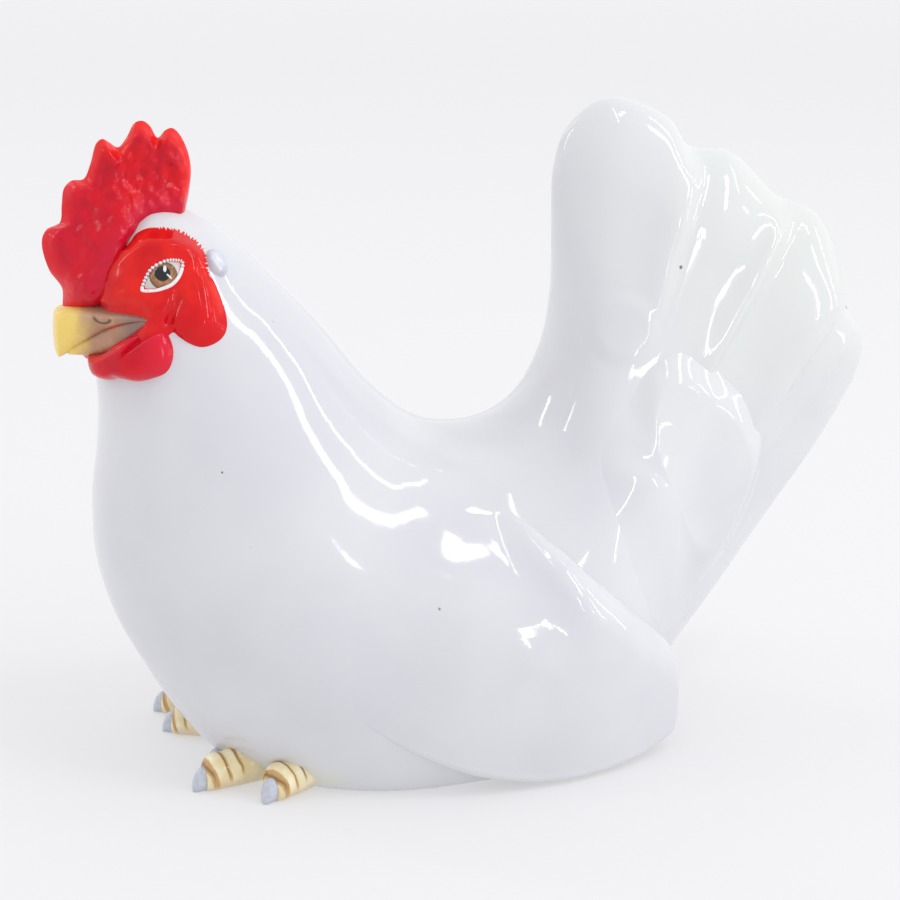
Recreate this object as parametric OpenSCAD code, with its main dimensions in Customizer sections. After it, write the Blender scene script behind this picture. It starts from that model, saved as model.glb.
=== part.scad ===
// Sitting hen, a hollow glazed porcelain figure: castings luted together, with modelled trim.
// The hen faces -X, its left side is towards -Y, and it stands on z = 0.

/* [Overall size] */
// Length over comb and tail
figure_length = 167; // [130:1:210]
// Height to the top of the tail
figure_height = 127.5; // [100:0.5:160]
// Width of the body without the wings
body_width = 76; // [60:1:96]

/* [Castings] */
// Wall of the hollow body
wall = 4; // [3:0.5:6]
// Thickness of the foot slab
slab_h = 2.5; // [2:0.5:5]
// Setback of the foot slab from the body's lower edge, less than the wall
slab_inset = 2; // [1:0.5:2.5]
// Bore of the vent that lets air out in the kiln
vent_d = 7; // [4:0.5:12]
// Thickness of the comb at its blades
comb_t = 6; // [4:0.5:9]

/* [Wings and tail feathers] */
// How far a wing stands out from the body
wing_rise = 5; // [3:0.5:8]
// How far the feather cushion at the tail's root stands out
covert_rise = 3.5; // [2:0.5:6]

/* [Face] */
// Width of the beak at its root
beak_w = 14; // [10:0.5:18]
// Height of the red face above the head
patch_rise = 1.4; // [0.8:0.2:2.4]
// Height of the grey ear lobe above the red face
lobe_rise = 1.2; // [0.8:0.2:2.4]
// Diameter of the ball of the eye
eye_d = 8; // [6:0.5:10]
// How far the ball of the eye shows
eye_rise = 2; // [1.4:0.2:2.6]
// Thickness of the rim round the eye
rim_t = 1.1; // [0.8:0.1:1.8]
// How far a wattle stands out from the throat
wattle_t = 3; // [2:0.5:5]

/* [Feet] */
// Thickness of a toe
toe_d = 6.6; // [5:0.2:8]
// Length of a claw
claw_l = 4.2; // [3:0.2:6]

/* [Hidden] */
$fn = 48;

// The outlines below are drawn for this size, and are scaled to the size that is set.
drawn = [167, 76, 127.5];
k = [figure_length / drawn[0], body_width / drawn[1], figure_height / drawn[2]];

// Sections of the skin from the beak's root over the neck and back to the tip of the tail:
// upper end x, z; lower end x, z; half width; lean of the widest place (minus is low, plus is high).
sections = [
    [-74.0,  97.0, -74.5,  84.0,  3.5,  0.00],
    [-71.0, 104.0, -74.5,  78.0,  9.0,  0.00],
    [-63.0, 110.4, -74.3,  71.0, 14.0,  0.00],
    [-52.0, 107.0, -75.0,  62.5, 18.0, -0.05],
    [-41.0,  96.0, -76.3,  52.0, 22.0, -0.10],
    [-31.5,  85.8, -75.5,  39.0, 27.0, -0.12],
    [-22.5,  74.5, -70.0,  24.0, 32.0, -0.15],
    [-13.5,  66.7, -55.5,   2.0, 36.0, -0.20],
    [ -5.0,  63.8, -30.0, -14.0, 38.0, -0.20],
    [  4.5,  64.7,   0.0, -16.0, 36.0, -0.10],
    [ 11.5,  69.8,  26.5,  -7.0, 32.0,  0.00],
    [ 15.5,  79.0,  39.5,  11.0, 25.0,  0.15],
    [ 16.4,  90.0,  50.0,  23.0, 19.0,  0.25],
    [ 16.0, 101.5,  61.5,  38.0, 15.0,  0.35],
    [ 15.8, 113.0,  72.5,  52.5, 12.0,  0.40],
    [ 17.0, 124.0,  82.0,  67.0, 10.0,  0.45]];
// Ends of the tail feathers, from the top of the front feather to the lowest rear one
feather_ends = [[17, 124], [28, 127.5], [39, 123.5], [44, 117.5], [53, 115.8], [60, 109.5], [63.5, 106.5],
    [72, 102.5], [77.5, 92], [78.7, 84.5], [83.5, 76], [82, 67]];
// Outline of the comb with its five points, x, z
comb_line = [[-79.6, 90.8], [-80.2, 95.4], [-82.4, 99], [-83.5, 103.7], [-82.6, 106.5], [-80.0, 107.8],
    [-79.5, 111.1], [-79, 114], [-77.5, 115.5], [-75.2, 115.8], [-73.9, 118.5], [-72.8, 122], [-71.5, 123],
    [-70.2, 122.3], [-68.6, 121.4], [-67, 123.2], [-65.6, 125.6], [-64, 126.1], [-62.6, 125.1],
    [-61.3, 122.9], [-59.8, 124.2], [-58.3, 124.5], [-56.7, 122.6], [-55.5, 119.2], [-55.3, 115.5],
    [-56.4, 110], [-59, 102], [-66, 96], [-73, 91]];
comb_middle = [-66, 110];

// Sections of the beak from its root to its hooked tip: x, top z, mouth z, bottom z, share of its width
beak_sections = [
    [-62.0, 91.5, 89.0, 87.0, 1.10],
    [-67.0, 92.0, 89.0, 85.6, 1.08],
    [-70.5, 92.0, 88.0, 84.4, 0.98],
    [-74.5, 91.8, 86.0, 83.2, 0.80],
    [-78.0, 91.2, 84.4, 82.6, 0.58],
    [-80.3, 89.4, 83.2, 82.2, 0.36],
    [-81.4, 86.4, 82.7, 82.1, 0.18]];

// The red face on the head's skin, as places u, t, with two lobes below
face_line = [[0.104, 0.050], [0.124, 0.044], [0.148, 0.040], [0.171, 0.038], [0.194, 0.052], [0.208, 0.080],
    [0.217, 0.130], [0.228, 0.152], [0.237, 0.178], [0.243, 0.211], [0.245, 0.255], [0.240, 0.306],
    [0.230, 0.354], [0.216, 0.386], [0.203, 0.402], [0.193, 0.402], [0.178, 0.450], [0.156, 0.455],
    [0.119, 0.470], [0.060, 0.500], [0.022, 0.380], [0.028, 0.190], [0.066, 0.115], [0.085, 0.068]];
face_middle = [0.145, 0.240];
eye_at = [0.157, 0.241];
lobe_at = [0.211, 0.105];
lobe_r = [0.013, 0.034];

// A wattle below the beak's corner, as places u, t
wattle_line = [[0.150, 0.468], [0.178, 0.455], [0.197, 0.456], [0.208, 0.485], [0.207, 0.535], [0.192, 0.605],
    [0.175, 0.665], [0.136, 0.755], [0.090, 0.835], [0.045, 0.900], [0.040, 0.830], [0.070, 0.740],
    [0.113, 0.630], [0.135, 0.540]];
wattle_middle = [0.150, 0.610];

// Stations of a wing from the shoulder to the tip:
// x, top z, bottom z, top y, bottom y, swell over the straight line between them, depth inside it
wing_sections = [
    [-46, 37.0, 29.0, 32.6, 32.6,  0.6, 3.0],
    [-38, 43.5, 21.5, 33.0, 34.6,  2.6, 5.0],
    [-30, 48.0, 15.0, 30.6, 35.6,  6.0, 6.0],
    [-20, 51.0,  9.0, 28.2, 36.2,  8.6, 6.0],
    [-10, 52.0,  4.6, 25.8, 36.2, 10.4, 6.0],
    [  0, 50.0,  1.7, 26.2, 36.8,  9.8, 6.0],
    [  8, 44.0,  0.8, 30.2, 37.2,  7.0, 6.0],
    [ 16, 36.5,  0.8, 31.6, 36.4,  5.0, 6.0],
    [ 24, 29.5,  1.8, 28.0, 32.8,  4.8, 5.0],
    [ 31, 21.5,  3.0, 23.4, 28.2,  3.6, 4.0],
    [ 35, 15.0,  4.0, 22.6, 25.6,  2.2, 2.6],
    [ 37, 10.5,  5.8, 23.6, 24.4,  0.6, 0.8]];
wing_swell_drawn = 5;

// The feather cushion over the tail's root, as places u, t
covert_line = [[0.690, 0.120], [0.740, 0.150], [0.778, 0.220], [0.827, 0.290], [0.858, 0.373], [0.877, 0.496],
    [0.870, 0.600], [0.866, 0.700], [0.852, 0.820], [0.815, 0.890], [0.770, 0.910], [0.725, 0.890],
    [0.696, 0.780], [0.684, 0.500], [0.680, 0.250]];
covert_middle = [0.765, 0.520];

// Toes: where each leaves the body, where its claw begins and where the claw ends, x, y.
// The feet are set a little differently, as hand work is.
left_toes = [[[-46, -9.0], [-53.6, -11.4], [-56.9, -12.5]],
    [[-44, -16.5], [-57.6, -19.9], [-62.0, -21.2]],
    [[-37, -21.5], [-46.3, -27.6], [-49.6, -30.2]]];
right_toes = [[[-49, 4.0], [-59.2, 8.4], [-63.2, 10.0]],
    [[-46, 14.0], [-59.6, 19.4], [-63.8, 21.3]],
    [[-37, 21.5], [-46.3, 27.6], [-49.6, 30.2]]];

last = len(sections) - 1;
head_end = 4 / last;
tail_start = 10 / last;
fan_power = 1.6;
end_round = 0.07;
blunt = 0.25;
slab_x = -11;

// A smooth curve through points, u from 0 to 1
function through(a, b, c, d, f) =
    0.5 * (2 * b + (c - a) * f + (2 * a - 5 * b + 4 * c - d) * f * f + (3 * b - a - 3 * c + d) * f * f * f);
function curve(p, u) = let (
        n = len(p) - 1,
        s = min(max(u, 0), 1) * n,
        i = min(floor(s), n - 1),
        a = i > 0 ? p[i - 1] : 2 * p[0] - p[1],
        d = i < n - 1 ? p[i + 2] : 2 * p[n] - p[n - 1])
    through(a, p[i], p[i + 1], d, s - i);
function mix(a, b, f) = a + (b - a) * f;
function rounded(f) = sqrt(max(0, 1 - (1 - f) * (1 - f)));

// A place on the skin: u runs from the face to the tail's tip, t from the upper to the lower edge,
// out is 1 on the edge of the wall and less inside it. y is positive.
function skin(u, t, inset = 0) = let (
        s = curve(sections, u),
        a = [s[0], s[1]],
        b = [s[2], s[3]],
        across = norm(b - a),
        tt = mix(inset / across, 1 - inset / across, t),
        fan = pow(max(0, (u - tail_start) / (1 - tail_start)), fan_power),
        first = feather_ends[0],
        lastend = feather_ends[len(feather_ends) - 1],
        swell = curve(feather_ends, t) - mix(first, lastend, t),
        p = mix(a, b, tt) + fan * swell,
        q = t + s[5] * t * (1 - t),
        ends = rounded(min(1, blunt / 4 + u / end_round)) * rounded(min(1, blunt / 4 + (1 - u) / end_round)),
        y = (s[4] - inset) * 2 * sqrt(max(0, q * (1 - q))) * ends)
    [p[0] * k[0], y * k[1], p[1] * k[2]];
// The same place with everything below the foot slab's top brought up to it
function stood(p) = [p[0], p[1], max(p[2], slab_h)];

// Skin of closed rings, each ring symmetric about y = 0
function ring_ts(n) = [for (i = [0:n]) (1 - cos(180 * i / n)) / 2];
function half_ring(u, n, inset) = [for (t = ring_ts(n)) skin(u, t, inset)];
module casting(us, n, inset = 0, flat = true) {
    halves = [for (u = us) half_ring(u, n, inset)];
    m = len(us);
    w = 2 * n;
    pts = [for (h = halves) each concat(
        [for (i = [0:n]) flat ? stood(h[i]) : h[i]],
        [for (i = [n - 1:-1:1]) let (p = flat ? stood(h[i]) : h[i]) [p[0], -p[1], p[2]]])];
    sides = [for (j = [0:m - 2], i = [0:w - 1]) let (a = j * w + i, b = j * w + (i + 1) % w)
        each [[a, b, b + w], [a, b + w, a + w]]];
    function strip(o, flip) = [for (i = [0:n - 1]) let (
            l0 = o + i,
            l1 = o + i + 1,
            r0 = o + (w - i) % w,
            r1 = o + w - i - 1)
        each [if (i > 0) (flip ? [l0, r0, l1] : [l0, l1, r0]),
              if (i < n - 1) (flip ? [l1, r0, r1] : [l1, r1, r0])]];
    polyhedron(pts, concat(sides, strip(0, true), strip((m - 1) * w, false)));
}
function steps(a, b, n) = [for (i = [0:n]) mix(a, b, i / n)];

// A closed solid from rings of equal length, with the first and last ring filled
module rings(given, turned = false) {
    list = turned ? [for (i = [len(given) - 1:-1:0]) given[i]] : given;
    m = len(list);
    w = len(list[0]);
    pts = [for (r = list) each r];
    sides = [for (j = [0:m - 2], i = [0:w - 1]) let (a = j * w + i, b = j * w + (i + 1) % w)
        each [[a, b, b + w], [a, b + w, a + w]]];
    polyhedron(pts, concat(sides, [[for (i = [w - 1:-1:0]) i]], [[for (i = [0:w - 1]) (m - 1) * w + i]]));
}
// Children as one carved solid
module carved() resize([0, 0, 0]) children();
module on_left() mirror([0, 1, 0]) children();

// Castings
module body_solid() casting(steps(head_end, tail_start, 14), 16);
module head_solid() casting(steps(0, head_end, 12), 14);
module tail_solid() casting(concat(steps(tail_start, 0.93, 9), [0.95, 0.97, 0.985, 1]), 22);
module hollow(us) casting(us, 10, wall, false);
module body() {
    color("whitesmoke") carved() difference() {
        body_solid();
        hollow(steps(head_end - 0.02, tail_start + 0.02, 10));
    }
}
module head() {
    color("whitesmoke") carved() difference() {
        head_solid();
        hollow(steps(head_end - 0.12, head_end + 0.02, 4));
    }
}
module tail() {
    color("whitesmoke") carved() difference() {
        tail_solid();
        hollow(steps(tail_start - 0.02, 0.87, 7));
    }
}
module foot_slab() {
    a = 45 * k[0] - slab_inset;
    b = 32.5 * k[1] - slab_inset;
    power = 2 / 2.2;
    outline = [for (i = [0:63]) let (c = cos(i * 360 / 64), s = sin(i * 360 / 64))
        [a * sign(c) * pow(abs(c), power), b * sign(s) * pow(abs(s), power)]];
    color("antiquewhite") translate([slab_x * k[0], 0, 0]) difference() {
        linear_extrude(slab_h) polygon(outline);
        translate([0, 0, -1]) cylinder(h = slab_h + 2, d = vent_d);
    }
}

// Comb: a plate with rounded edges
module comb_solid() {
    prof = [[0.10, 1], [0.55, 1], [0.86, 0.94], [0.95, 0.72], [1, 0.3]];
    n = len(prof);
    rings([for (i = [0:2 * n - 1]) let (
            p = i < n ? prof[i] : prof[2 * n - 1 - i],
            y = (i < n ? -1 : 1) * p[1] * comb_t / 2)
        [for (q = comb_line) let (c = mix(comb_middle, q, p[0])) [c[0] * k[0], y, c[1] * k[2]]]], true);
}
module comb() { color("crimson") carved() difference() { comb_solid(); head_solid(); } }

// Beak halves: rounded above the mouth line and below it
module beak_half(upper) {
    n = 16;
    rings([for (s = beak_sections) let (
            z1 = upper ? s[1] : s[2],
            z0 = upper ? s[2] : s[3])
        [for (i = [0:n - 1]) let (a = 360 * i / n)
            [s[0] * k[0], beak_w / 2 * s[4] * (upper ? 1 : 0.86) * cos(a),
                k[2] * (mix(z0, z1, 0.5) + (z1 - z0) / 2 * sin(a))]]]);
}
module upper_beak() { color("khaki") carved() difference() { beak_half(true); head_solid(); comb_solid(); } }
module lower_beak() {
    color("burlywood") carved() difference() { beak_half(false); head_solid(); beak_half(true); }
}

// A direction straight out of the skin
function outward(u, t) = let (
        e = 0.004,
        a = skin(u + e, t) - skin(u - e, t),
        b = skin(u, t + e) - skin(u, t - e),
        n = cross(a, b))
    n / norm(n);
function raised(at, h) = skin(at[0], at[1]) + h * outward(at[0], at[1]);
// A low cushion on the skin inside a line of places u, t, with its underside sunk to be cut off
module cushion(line, middle, rise, sink, n) {
    shape = [for (i = [0:n - 1]) curve(concat(line, [line[0]]), i / n)];
    prof = [[0.15, -sink], [1, -sink], [1, rise * 0.25], [0.96, rise * 0.62], [0.86, rise * 0.9],
        [0.55, rise], [0.12, rise]];
    rings([for (p = prof) [for (q = shape) raised(mix(middle, q, p[0]), p[1])]], true);
}

// Red face, ear lobe, eye, eye rim and wattle, drawn on the right side
module face_solid() cushion(face_line, face_middle, patch_rise, 1.6, 36);
module beak_solid() { beak_half(true); beak_half(false); }
module at_eye(h) {
    n = outward(eye_at[0], eye_at[1]);
    translate(raised(eye_at, h)) rotate([0, acos(n[2]), atan2(n[1], n[0])]) children();
}
module eye_solid() at_eye(patch_rise + eye_rise - eye_d / 2) sphere(d = eye_d, $fn = 26);
eye_show = sqrt(eye_d * eye_rise - eye_rise * eye_rise);
module rim_solid() at_eye(patch_rise + rim_t * 0.3)
    rotate_extrude($fn = 36) translate([eye_show, 0]) circle(d = rim_t, $fn = 14);
module face_right() {
    color("red") carved() difference() { face_solid(); head_solid(); body_solid(); comb_solid(); beak_solid();
        eye_solid(); }
}
module lobe_right() {
    line = [for (i = [0:11]) lobe_at + [lobe_r[0] * cos(30 * i), lobe_r[1] * sin(30 * i)]];
    color("lightsteelblue") carved() difference() {
        cushion(line, lobe_at, patch_rise + lobe_rise, 1, 16);
        head_solid();
        face_solid();
    }
}
module eye_right() { color("saddlebrown") carved() difference() { eye_solid(); head_solid(); } }
module rim_right() {
    color("silver") carved() difference() { rim_solid(); eye_solid(); face_solid(); head_solid(); }
}
module wattle_right() {
    color("red") carved() difference() {
        cushion(wattle_line, wattle_middle, wattle_t, 1.6, 28);
        head_solid();
        body_solid();
        beak_solid();
        face_solid();
    }
}

// Wing and feather cushion, drawn on the right side
module wing_solid() {
    n = 20;
    swell = wing_rise - wing_swell_drawn;
    rings([for (j = [0:23]) let (s = curve(wing_sections, j / 23))
        [for (i = [0:n - 1]) let (
                a = 360 * i / n,
                f = (1 - cos(a)) / 2,
                out = sin(a) > 0 ? s[5] + swell * min(1, s[5] / 4) : s[6])
            [s[0] * k[0], k[1] * (mix(s[3], s[4], f) + out * sin(a)), max(0.6, k[2] * mix(s[1], s[2], f))]]]);
}
module wing_right() { color("white") carved() difference() { wing_solid(); body_solid(); tail_solid(); foot_slab(); } }
module covert_right() {
    color("ghostwhite") carved() difference() {
        cushion(covert_line, covert_middle, covert_rise, 2, 34);
        body_solid();
        tail_solid();
        wing_solid();
    }
}

// A toe from the body to its claw, and the claw beyond it, both flat on the ground
function toe_ring(c, dir, r, n) = [for (i = [0:n - 1]) let (a = 360 * i / n, s = [-dir[1], dir[0]])
    [c[0] + s[0] * r * cos(a), c[1] + s[1] * r * cos(a), max(0, r * 0.9 + r * sin(a))]];
function heading(a, b) = (b - a) / norm(b - a);
function scaled(p) = [p[0] * k[0], p[1] * k[1]];
module toe_solid(line) {
    a = scaled(line[0]);
    b = scaled(line[1]);
    d = heading(a, b);
    prof = [[0, 0.9], [0.3, 1], [0.45, 0.94], [0.6, 1.02], [0.75, 0.94], [0.88, 0.98], [0.96, 0.9], [1, 0.78]];
    rings([for (p = prof) toe_ring(mix(a, b, p[0]), d, p[1] * toe_d / 2, 16)], true);
}
module claw_solid(line) {
    b = scaled(line[1]);
    d = heading(b, scaled(line[2]));
    prof = [[-0.2, 0.7], [0, 0.72], [0.4, 0.62], [0.75, 0.42], [0.95, 0.22], [1, 0.1]];
    rings([for (p = prof) toe_ring(b + d * claw_l * p[0], d, p[1] * toe_d / 2, 14)], true);
}
module toe(lines, i) {
    color("lemonchiffon") carved() difference() {
        toe_solid(lines[i]);
        body_solid();
        foot_slab();
        if (i > 0) toe_solid(lines[i - 1]);
    }
}
module claws(lines) {
    color("slategray") for (i = [0:2]) carved() difference() {
        claw_solid(lines[i]);
        for (l = lines) toe_solid(l);
        body_solid();
        if (i > 0) claw_solid(lines[i - 1]);
    }
}

body();
head();
tail();
foot_slab();
comb();
upper_beak();
lower_beak();
on_left() wing_right();  // left_wing
wing_right();  // right_wing
on_left() covert_right();  // left_tail_covert
covert_right();  // right_tail_covert
on_left() face_right();  // left_face
face_right();  // right_face
on_left() lobe_right();  // left_ear_lobe
lobe_right();  // right_ear_lobe
on_left() eye_right();  // left_eye
eye_right();  // right_eye
on_left() rim_right();  // left_eye_rim
rim_right();  // right_eye_rim
on_left() wattle_right();  // left_wattle
wattle_right();  // right_wattle
toe(left_toes, 0);  // left_inner_toe
toe(left_toes, 1);  // left_middle_toe
toe(left_toes, 2);  // left_outer_toe
toe(right_toes, 0);  // right_inner_toe
toe(right_toes, 1);  // right_middle_toe
toe(right_toes, 2);  // right_outer_toe
claws(left_toes);  // left_claws
claws(right_toes);  // right_claws
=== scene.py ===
"""Sitting hen in glazed, hand-painted porcelain: the finished surfaces of every casting and trim."""

import math

import bpy
import numpy as np
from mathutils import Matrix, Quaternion, Vector


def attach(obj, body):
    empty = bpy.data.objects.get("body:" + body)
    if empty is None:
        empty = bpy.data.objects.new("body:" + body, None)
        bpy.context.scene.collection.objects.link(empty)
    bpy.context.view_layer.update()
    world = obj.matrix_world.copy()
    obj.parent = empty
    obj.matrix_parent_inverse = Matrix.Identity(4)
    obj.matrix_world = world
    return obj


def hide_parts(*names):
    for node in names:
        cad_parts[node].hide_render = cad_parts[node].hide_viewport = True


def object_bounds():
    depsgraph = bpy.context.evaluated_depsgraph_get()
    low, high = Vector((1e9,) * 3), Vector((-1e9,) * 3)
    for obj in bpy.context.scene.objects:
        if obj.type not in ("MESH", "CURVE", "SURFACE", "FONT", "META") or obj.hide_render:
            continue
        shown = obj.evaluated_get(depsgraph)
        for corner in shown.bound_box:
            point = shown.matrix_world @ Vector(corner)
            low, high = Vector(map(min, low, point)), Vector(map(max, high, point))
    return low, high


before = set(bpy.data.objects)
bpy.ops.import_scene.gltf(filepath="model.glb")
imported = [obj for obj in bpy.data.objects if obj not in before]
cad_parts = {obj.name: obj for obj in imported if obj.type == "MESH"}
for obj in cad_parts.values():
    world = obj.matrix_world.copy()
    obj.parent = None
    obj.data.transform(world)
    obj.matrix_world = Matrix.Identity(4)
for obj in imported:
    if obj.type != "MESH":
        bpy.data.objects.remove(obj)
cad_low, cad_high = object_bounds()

bl_info = {
    "name": "Porcelain Hen Figurine",
    "version": (1, 0, 0),
    "blender": (4, 5, 0),
    "location": "3D View > Sidebar > Porcelain Hen",
    "description": "Builds the glazed castings, the painted trim and the studio of a porcelain hen",
    "category": "Add Mesh",
}

MM = 0.001
BODY = "root"
SIDES = (("left", -1), ("right", 1))

# The outlines below are in millimetres for this size of hen, and are scaled to the size of the CAD pieces in
# model.glb.
DRAWN_SIZE = np.array([167.11, 85.25, 127.42])
SCALE = np.array(cad_high - cad_low) / MM / DRAWN_SIZE

# Sections of the skin from the beak's root over the neck and back to the tip of the tail:
# upper end x, z; lower end x, z; half width; lean of the widest place (minus is low, plus is high).
SKIN_SECTIONS = np.array([
    [-74.0, 97.0, -74.5, 84.0, 3.5, 0.00],
    [-71.0, 104.0, -74.5, 78.0, 9.0, 0.00],
    [-63.0, 110.4, -74.3, 71.0, 14.0, 0.00],
    [-52.0, 107.0, -75.0, 62.5, 18.0, -0.05],
    [-41.0, 96.0, -76.3, 52.0, 22.0, -0.10],
    [-31.5, 85.8, -75.5, 39.0, 27.0, -0.12],
    [-22.5, 74.5, -70.0, 24.0, 32.0, -0.15],
    [-13.5, 66.7, -55.5, 2.0, 36.0, -0.20],
    [-5.0, 63.8, -30.0, -14.0, 38.0, -0.20],
    [4.5, 64.7, 0.0, -16.0, 36.0, -0.10],
    [11.5, 69.8, 26.5, -7.0, 32.0, 0.00],
    [15.5, 79.0, 39.5, 11.0, 25.0, 0.15],
    [16.4, 90.0, 50.0, 23.0, 19.0, 0.25],
    [16.0, 101.5, 61.5, 38.0, 15.0, 0.35],
    [15.8, 113.0, 72.5, 52.5, 12.0, 0.40],
    [17.0, 124.0, 82.0, 67.0, 10.0, 0.45]])
LAST_SECTION = len(SKIN_SECTIONS) - 1
HEAD_END = 4 / LAST_SECTION
TAIL_START = 10 / LAST_SECTION
FAN_POWER = 1.6
END_ROUND = 0.07
# Ends of the tail feathers, from the top of the front feather to the lowest rear one
FEATHER_ENDS = np.array([
    [17, 124], [28, 127.5], [39, 123.5], [44, 117.5], [53, 115.8], [60, 109.5], [63.5, 106.5],
    [72, 102.5], [77.5, 92], [78.7, 84.5], [83.5, 76], [82, 67]])
# How much lower the front edge of the foremost feather ends, which rounds it off
FRONT_FEATHER_DROP = 6.0
# Where one tail feather lies over the next: place t at the root and at the end, step, width of the step
FEATHER_STEPS = ((0.275, 0.268, 1.4, 0.045), (0.492, 0.556, 1.8, 0.046), (0.697, 0.746, 1.8, 0.046),
                 (0.795, 0.862, 1.0, 0.036))
SMALL_COVERT_AT = (26.0, 84.4)
SMALL_COVERT_RADIUS = 7.0

# The foot of the casting: height of its glazed edge above the ground, and the slab's half axes
FOOT_EDGE = 0.05
FOOT_ROUND = 0.4
SLAB_MIDDLE_X = -11
SLAB_HALF = (43, 30.5)
SLAB_POWER = 2.2
HOLLOW_HEIGHT = 14

# Stations of a wing from the shoulder to the tip: x, top z, bottom z
WING_OUTLINE = np.array([
    [-47, 36.5, 29.5], [-38, 44.5, 21.0], [-30, 49.5, 14.6], [-20, 53.0, 8.6], [-10, 54.5, 4.2], [0, 52.5, 1.5],
    [8, 46.5, 0.6], [16, 39.0, 0.6], [24, 31.5, 1.2], [30, 26.0, 2.2], [34, 21.5, 3.4], [36.0, 17.0, 6.0]])
# How far the wing's face stands from the middle plane along x, at the height where it is widest
WING_FACE = np.array([
    [-47, 33.2], [-38, 35.8], [-30, 37.6], [-20, 39.3], [-10, 40.6], [0, 40.9], [10, 39.8], [20, 36.6],
    [28, 32.4], [34, 28.4], [38, 25.4]])
WING_WIDEST_Z = 24
WING_ARCH = 58
WING_EDGE_ROUND = 2.2

# The feather cushion over the tail's root, as places u, t on the skin
COVERT_LINE = np.array([
    [0.690, 0.120], [0.740, 0.150], [0.778, 0.220], [0.827, 0.290], [0.858, 0.373], [0.877, 0.496],
    [0.880, 0.600], [0.884, 0.720], [0.880, 0.840], [0.840, 0.900], [0.770, 0.910], [0.725, 0.890],
    [0.696, 0.780], [0.684, 0.500], [0.680, 0.250]])
COVERT_MIDDLE = (0.775, 0.520)

# Outline of the comb with its five points, x, z
COMB_LINE = np.array([
    [-79.6, 90.8], [-80.2, 95.4], [-82.4, 99], [-83.5, 103.7], [-82.6, 106.5], [-80.0, 107.8], [-79.5, 111.1],
    [-79, 114], [-77.5, 115.5], [-75.2, 115.8], [-73.9, 118.5], [-72.8, 122], [-71.5, 123], [-70.2, 122.3],
    [-68.6, 121.4], [-67, 123.2], [-65.6, 125.6], [-64, 126.1], [-62.6, 125.1], [-61.3, 122.9],
    [-59.8, 124.2], [-58.3, 124.5], [-56.7, 122.6], [-55.5, 119.2], [-55.3, 115.5], [-56.4, 110], [-59, 102],
    [-66, 96], [-73, 91]])
COMB_TIPS = ((-83.2, 104.2), (-78.6, 114.4), (-71.2, 122.4), (-63.9, 125.6), (-58.4, 124.0))
COMB_MIDDLE = (-67, 109)

# Sections of the beak from the mouth's corner on the cheek to its hooked tip: x, top z, mouth z, bottom z,
# half width
BEAK_SECTIONS = np.array([
    [-64.8, 91.9, 91.5, 90.6, 15.4], [-67.4, 92.7, 91.5, 89.2, 15.3], [-69.5, 93.0, 90.9, 86.8, 13.9],
    [-71.6, 93.0, 89.9, 84.8, 11.7], [-74.0, 92.9, 88.2, 83.4, 8.9], [-76.5, 92.7, 86.2, 83.0, 6.5],
    [-78.8, 92.4, 84.6, 83.0, 4.7], [-80.8, 91.8, 83.2, 83.1, 3.5], [-82.2, 90.8, 82.7, 83.1, 2.8]])
# How much further the upper half reaches than the lower
BEAK_OVERHANG = 2.2

# The red face on the head, as places u, t, with the lobe that hangs behind the beak's corner
FACE_LINE = np.array([
    [0.096, 0.070], [0.106, 0.050], [0.128, 0.048], [0.152, 0.044], [0.172, 0.040], [0.194, 0.052],
    [0.208, 0.080], [0.217, 0.130], [0.228, 0.152], [0.237, 0.178], [0.243, 0.211], [0.245, 0.255],
    [0.240, 0.306], [0.230, 0.354], [0.216, 0.386], [0.203, 0.402], [0.193, 0.412], [0.187, 0.470],
    [0.180, 0.580], [0.158, 0.680], [0.118, 0.780], [0.066, 0.880], [0.020, 0.920], [0.004, 0.700],
    [0.004, 0.300], [0.004, 0.150], [0.030, 0.060], [0.060, 0.060], [0.080, 0.082]])
FACE_MIDDLE = (0.145, 0.260)
EYE_AT = (0.157, 0.241)
LOBE_AT = (0.211, 0.105)
LOBE_RADII = (0.013, 0.034)
# A wattle below the beak's corner, as places u, t
WATTLE_LINE = np.array([
    [0.158, 0.488], [0.172, 0.445], [0.186, 0.425], [0.202, 0.445], [0.209, 0.485], [0.207, 0.535],
    [0.192, 0.605], [0.175, 0.665], [0.154, 0.715], [0.136, 0.755], [0.110, 0.835], [0.080, 0.900],
    [0.050, 0.955], [0.022, 0.970], [0.012, 0.930], [0.034, 0.850], [0.068, 0.750], [0.100, 0.660],
    [0.130, 0.565]])
WATTLE_MIDDLE = (0.138, 0.670)

# Opening of the eye in its own plane: towards the tail, up
EYE_LINE = np.array([
    [-3.75, -3.45], [-2.3, -3.75], [-0.5, -3.5], [1.7, -2.55], [3.1, -0.8], [3.65, 1.5], [2.3, 1.95],
    [0.5, 1.75], [-1.9, 0.45], [-3.2, -1.6]])
EYE_MIDDLE = (0.0, -0.9)
IRIS_MIDDLE = (0.1, -1.0)
PUPIL_MIDDLE = (0.0, -0.7)

# Iron specks burnt into the white glaze: x, y, z and radius
SPECKS = ((38.1, -12.9, 95.7, 0.5), (-16.9, -36.6, 38.5, 0.5), (-55.1, -25.9, 64.9, 0.28),
          (79.1, -1.3, 83.0, 0.5), (52.0, 12.4, 70.0, 0.5))

# Toes: where each leaves the body, where its claw begins and where the claw ends, x, y.
TOES = {
    "left": (((-46, -9.0), (-53.6, -11.4), (-56.9, -12.5)), ((-44, -16.5), (-57.6, -19.9), (-62.0, -21.2)),
             ((-37, -21.5), (-46.3, -27.6), (-49.6, -30.2))),
    "right": (((-49, 4.0), (-59.2, 8.4), (-63.2, 10.0)), ((-46, 14.0), (-59.6, 19.4), (-63.8, 21.3)),
              ((-37, 21.5), (-46.3, 27.6), (-49.6, 30.2))),
}
TOE_NAMES = ("inner", "middle", "outer")

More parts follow.
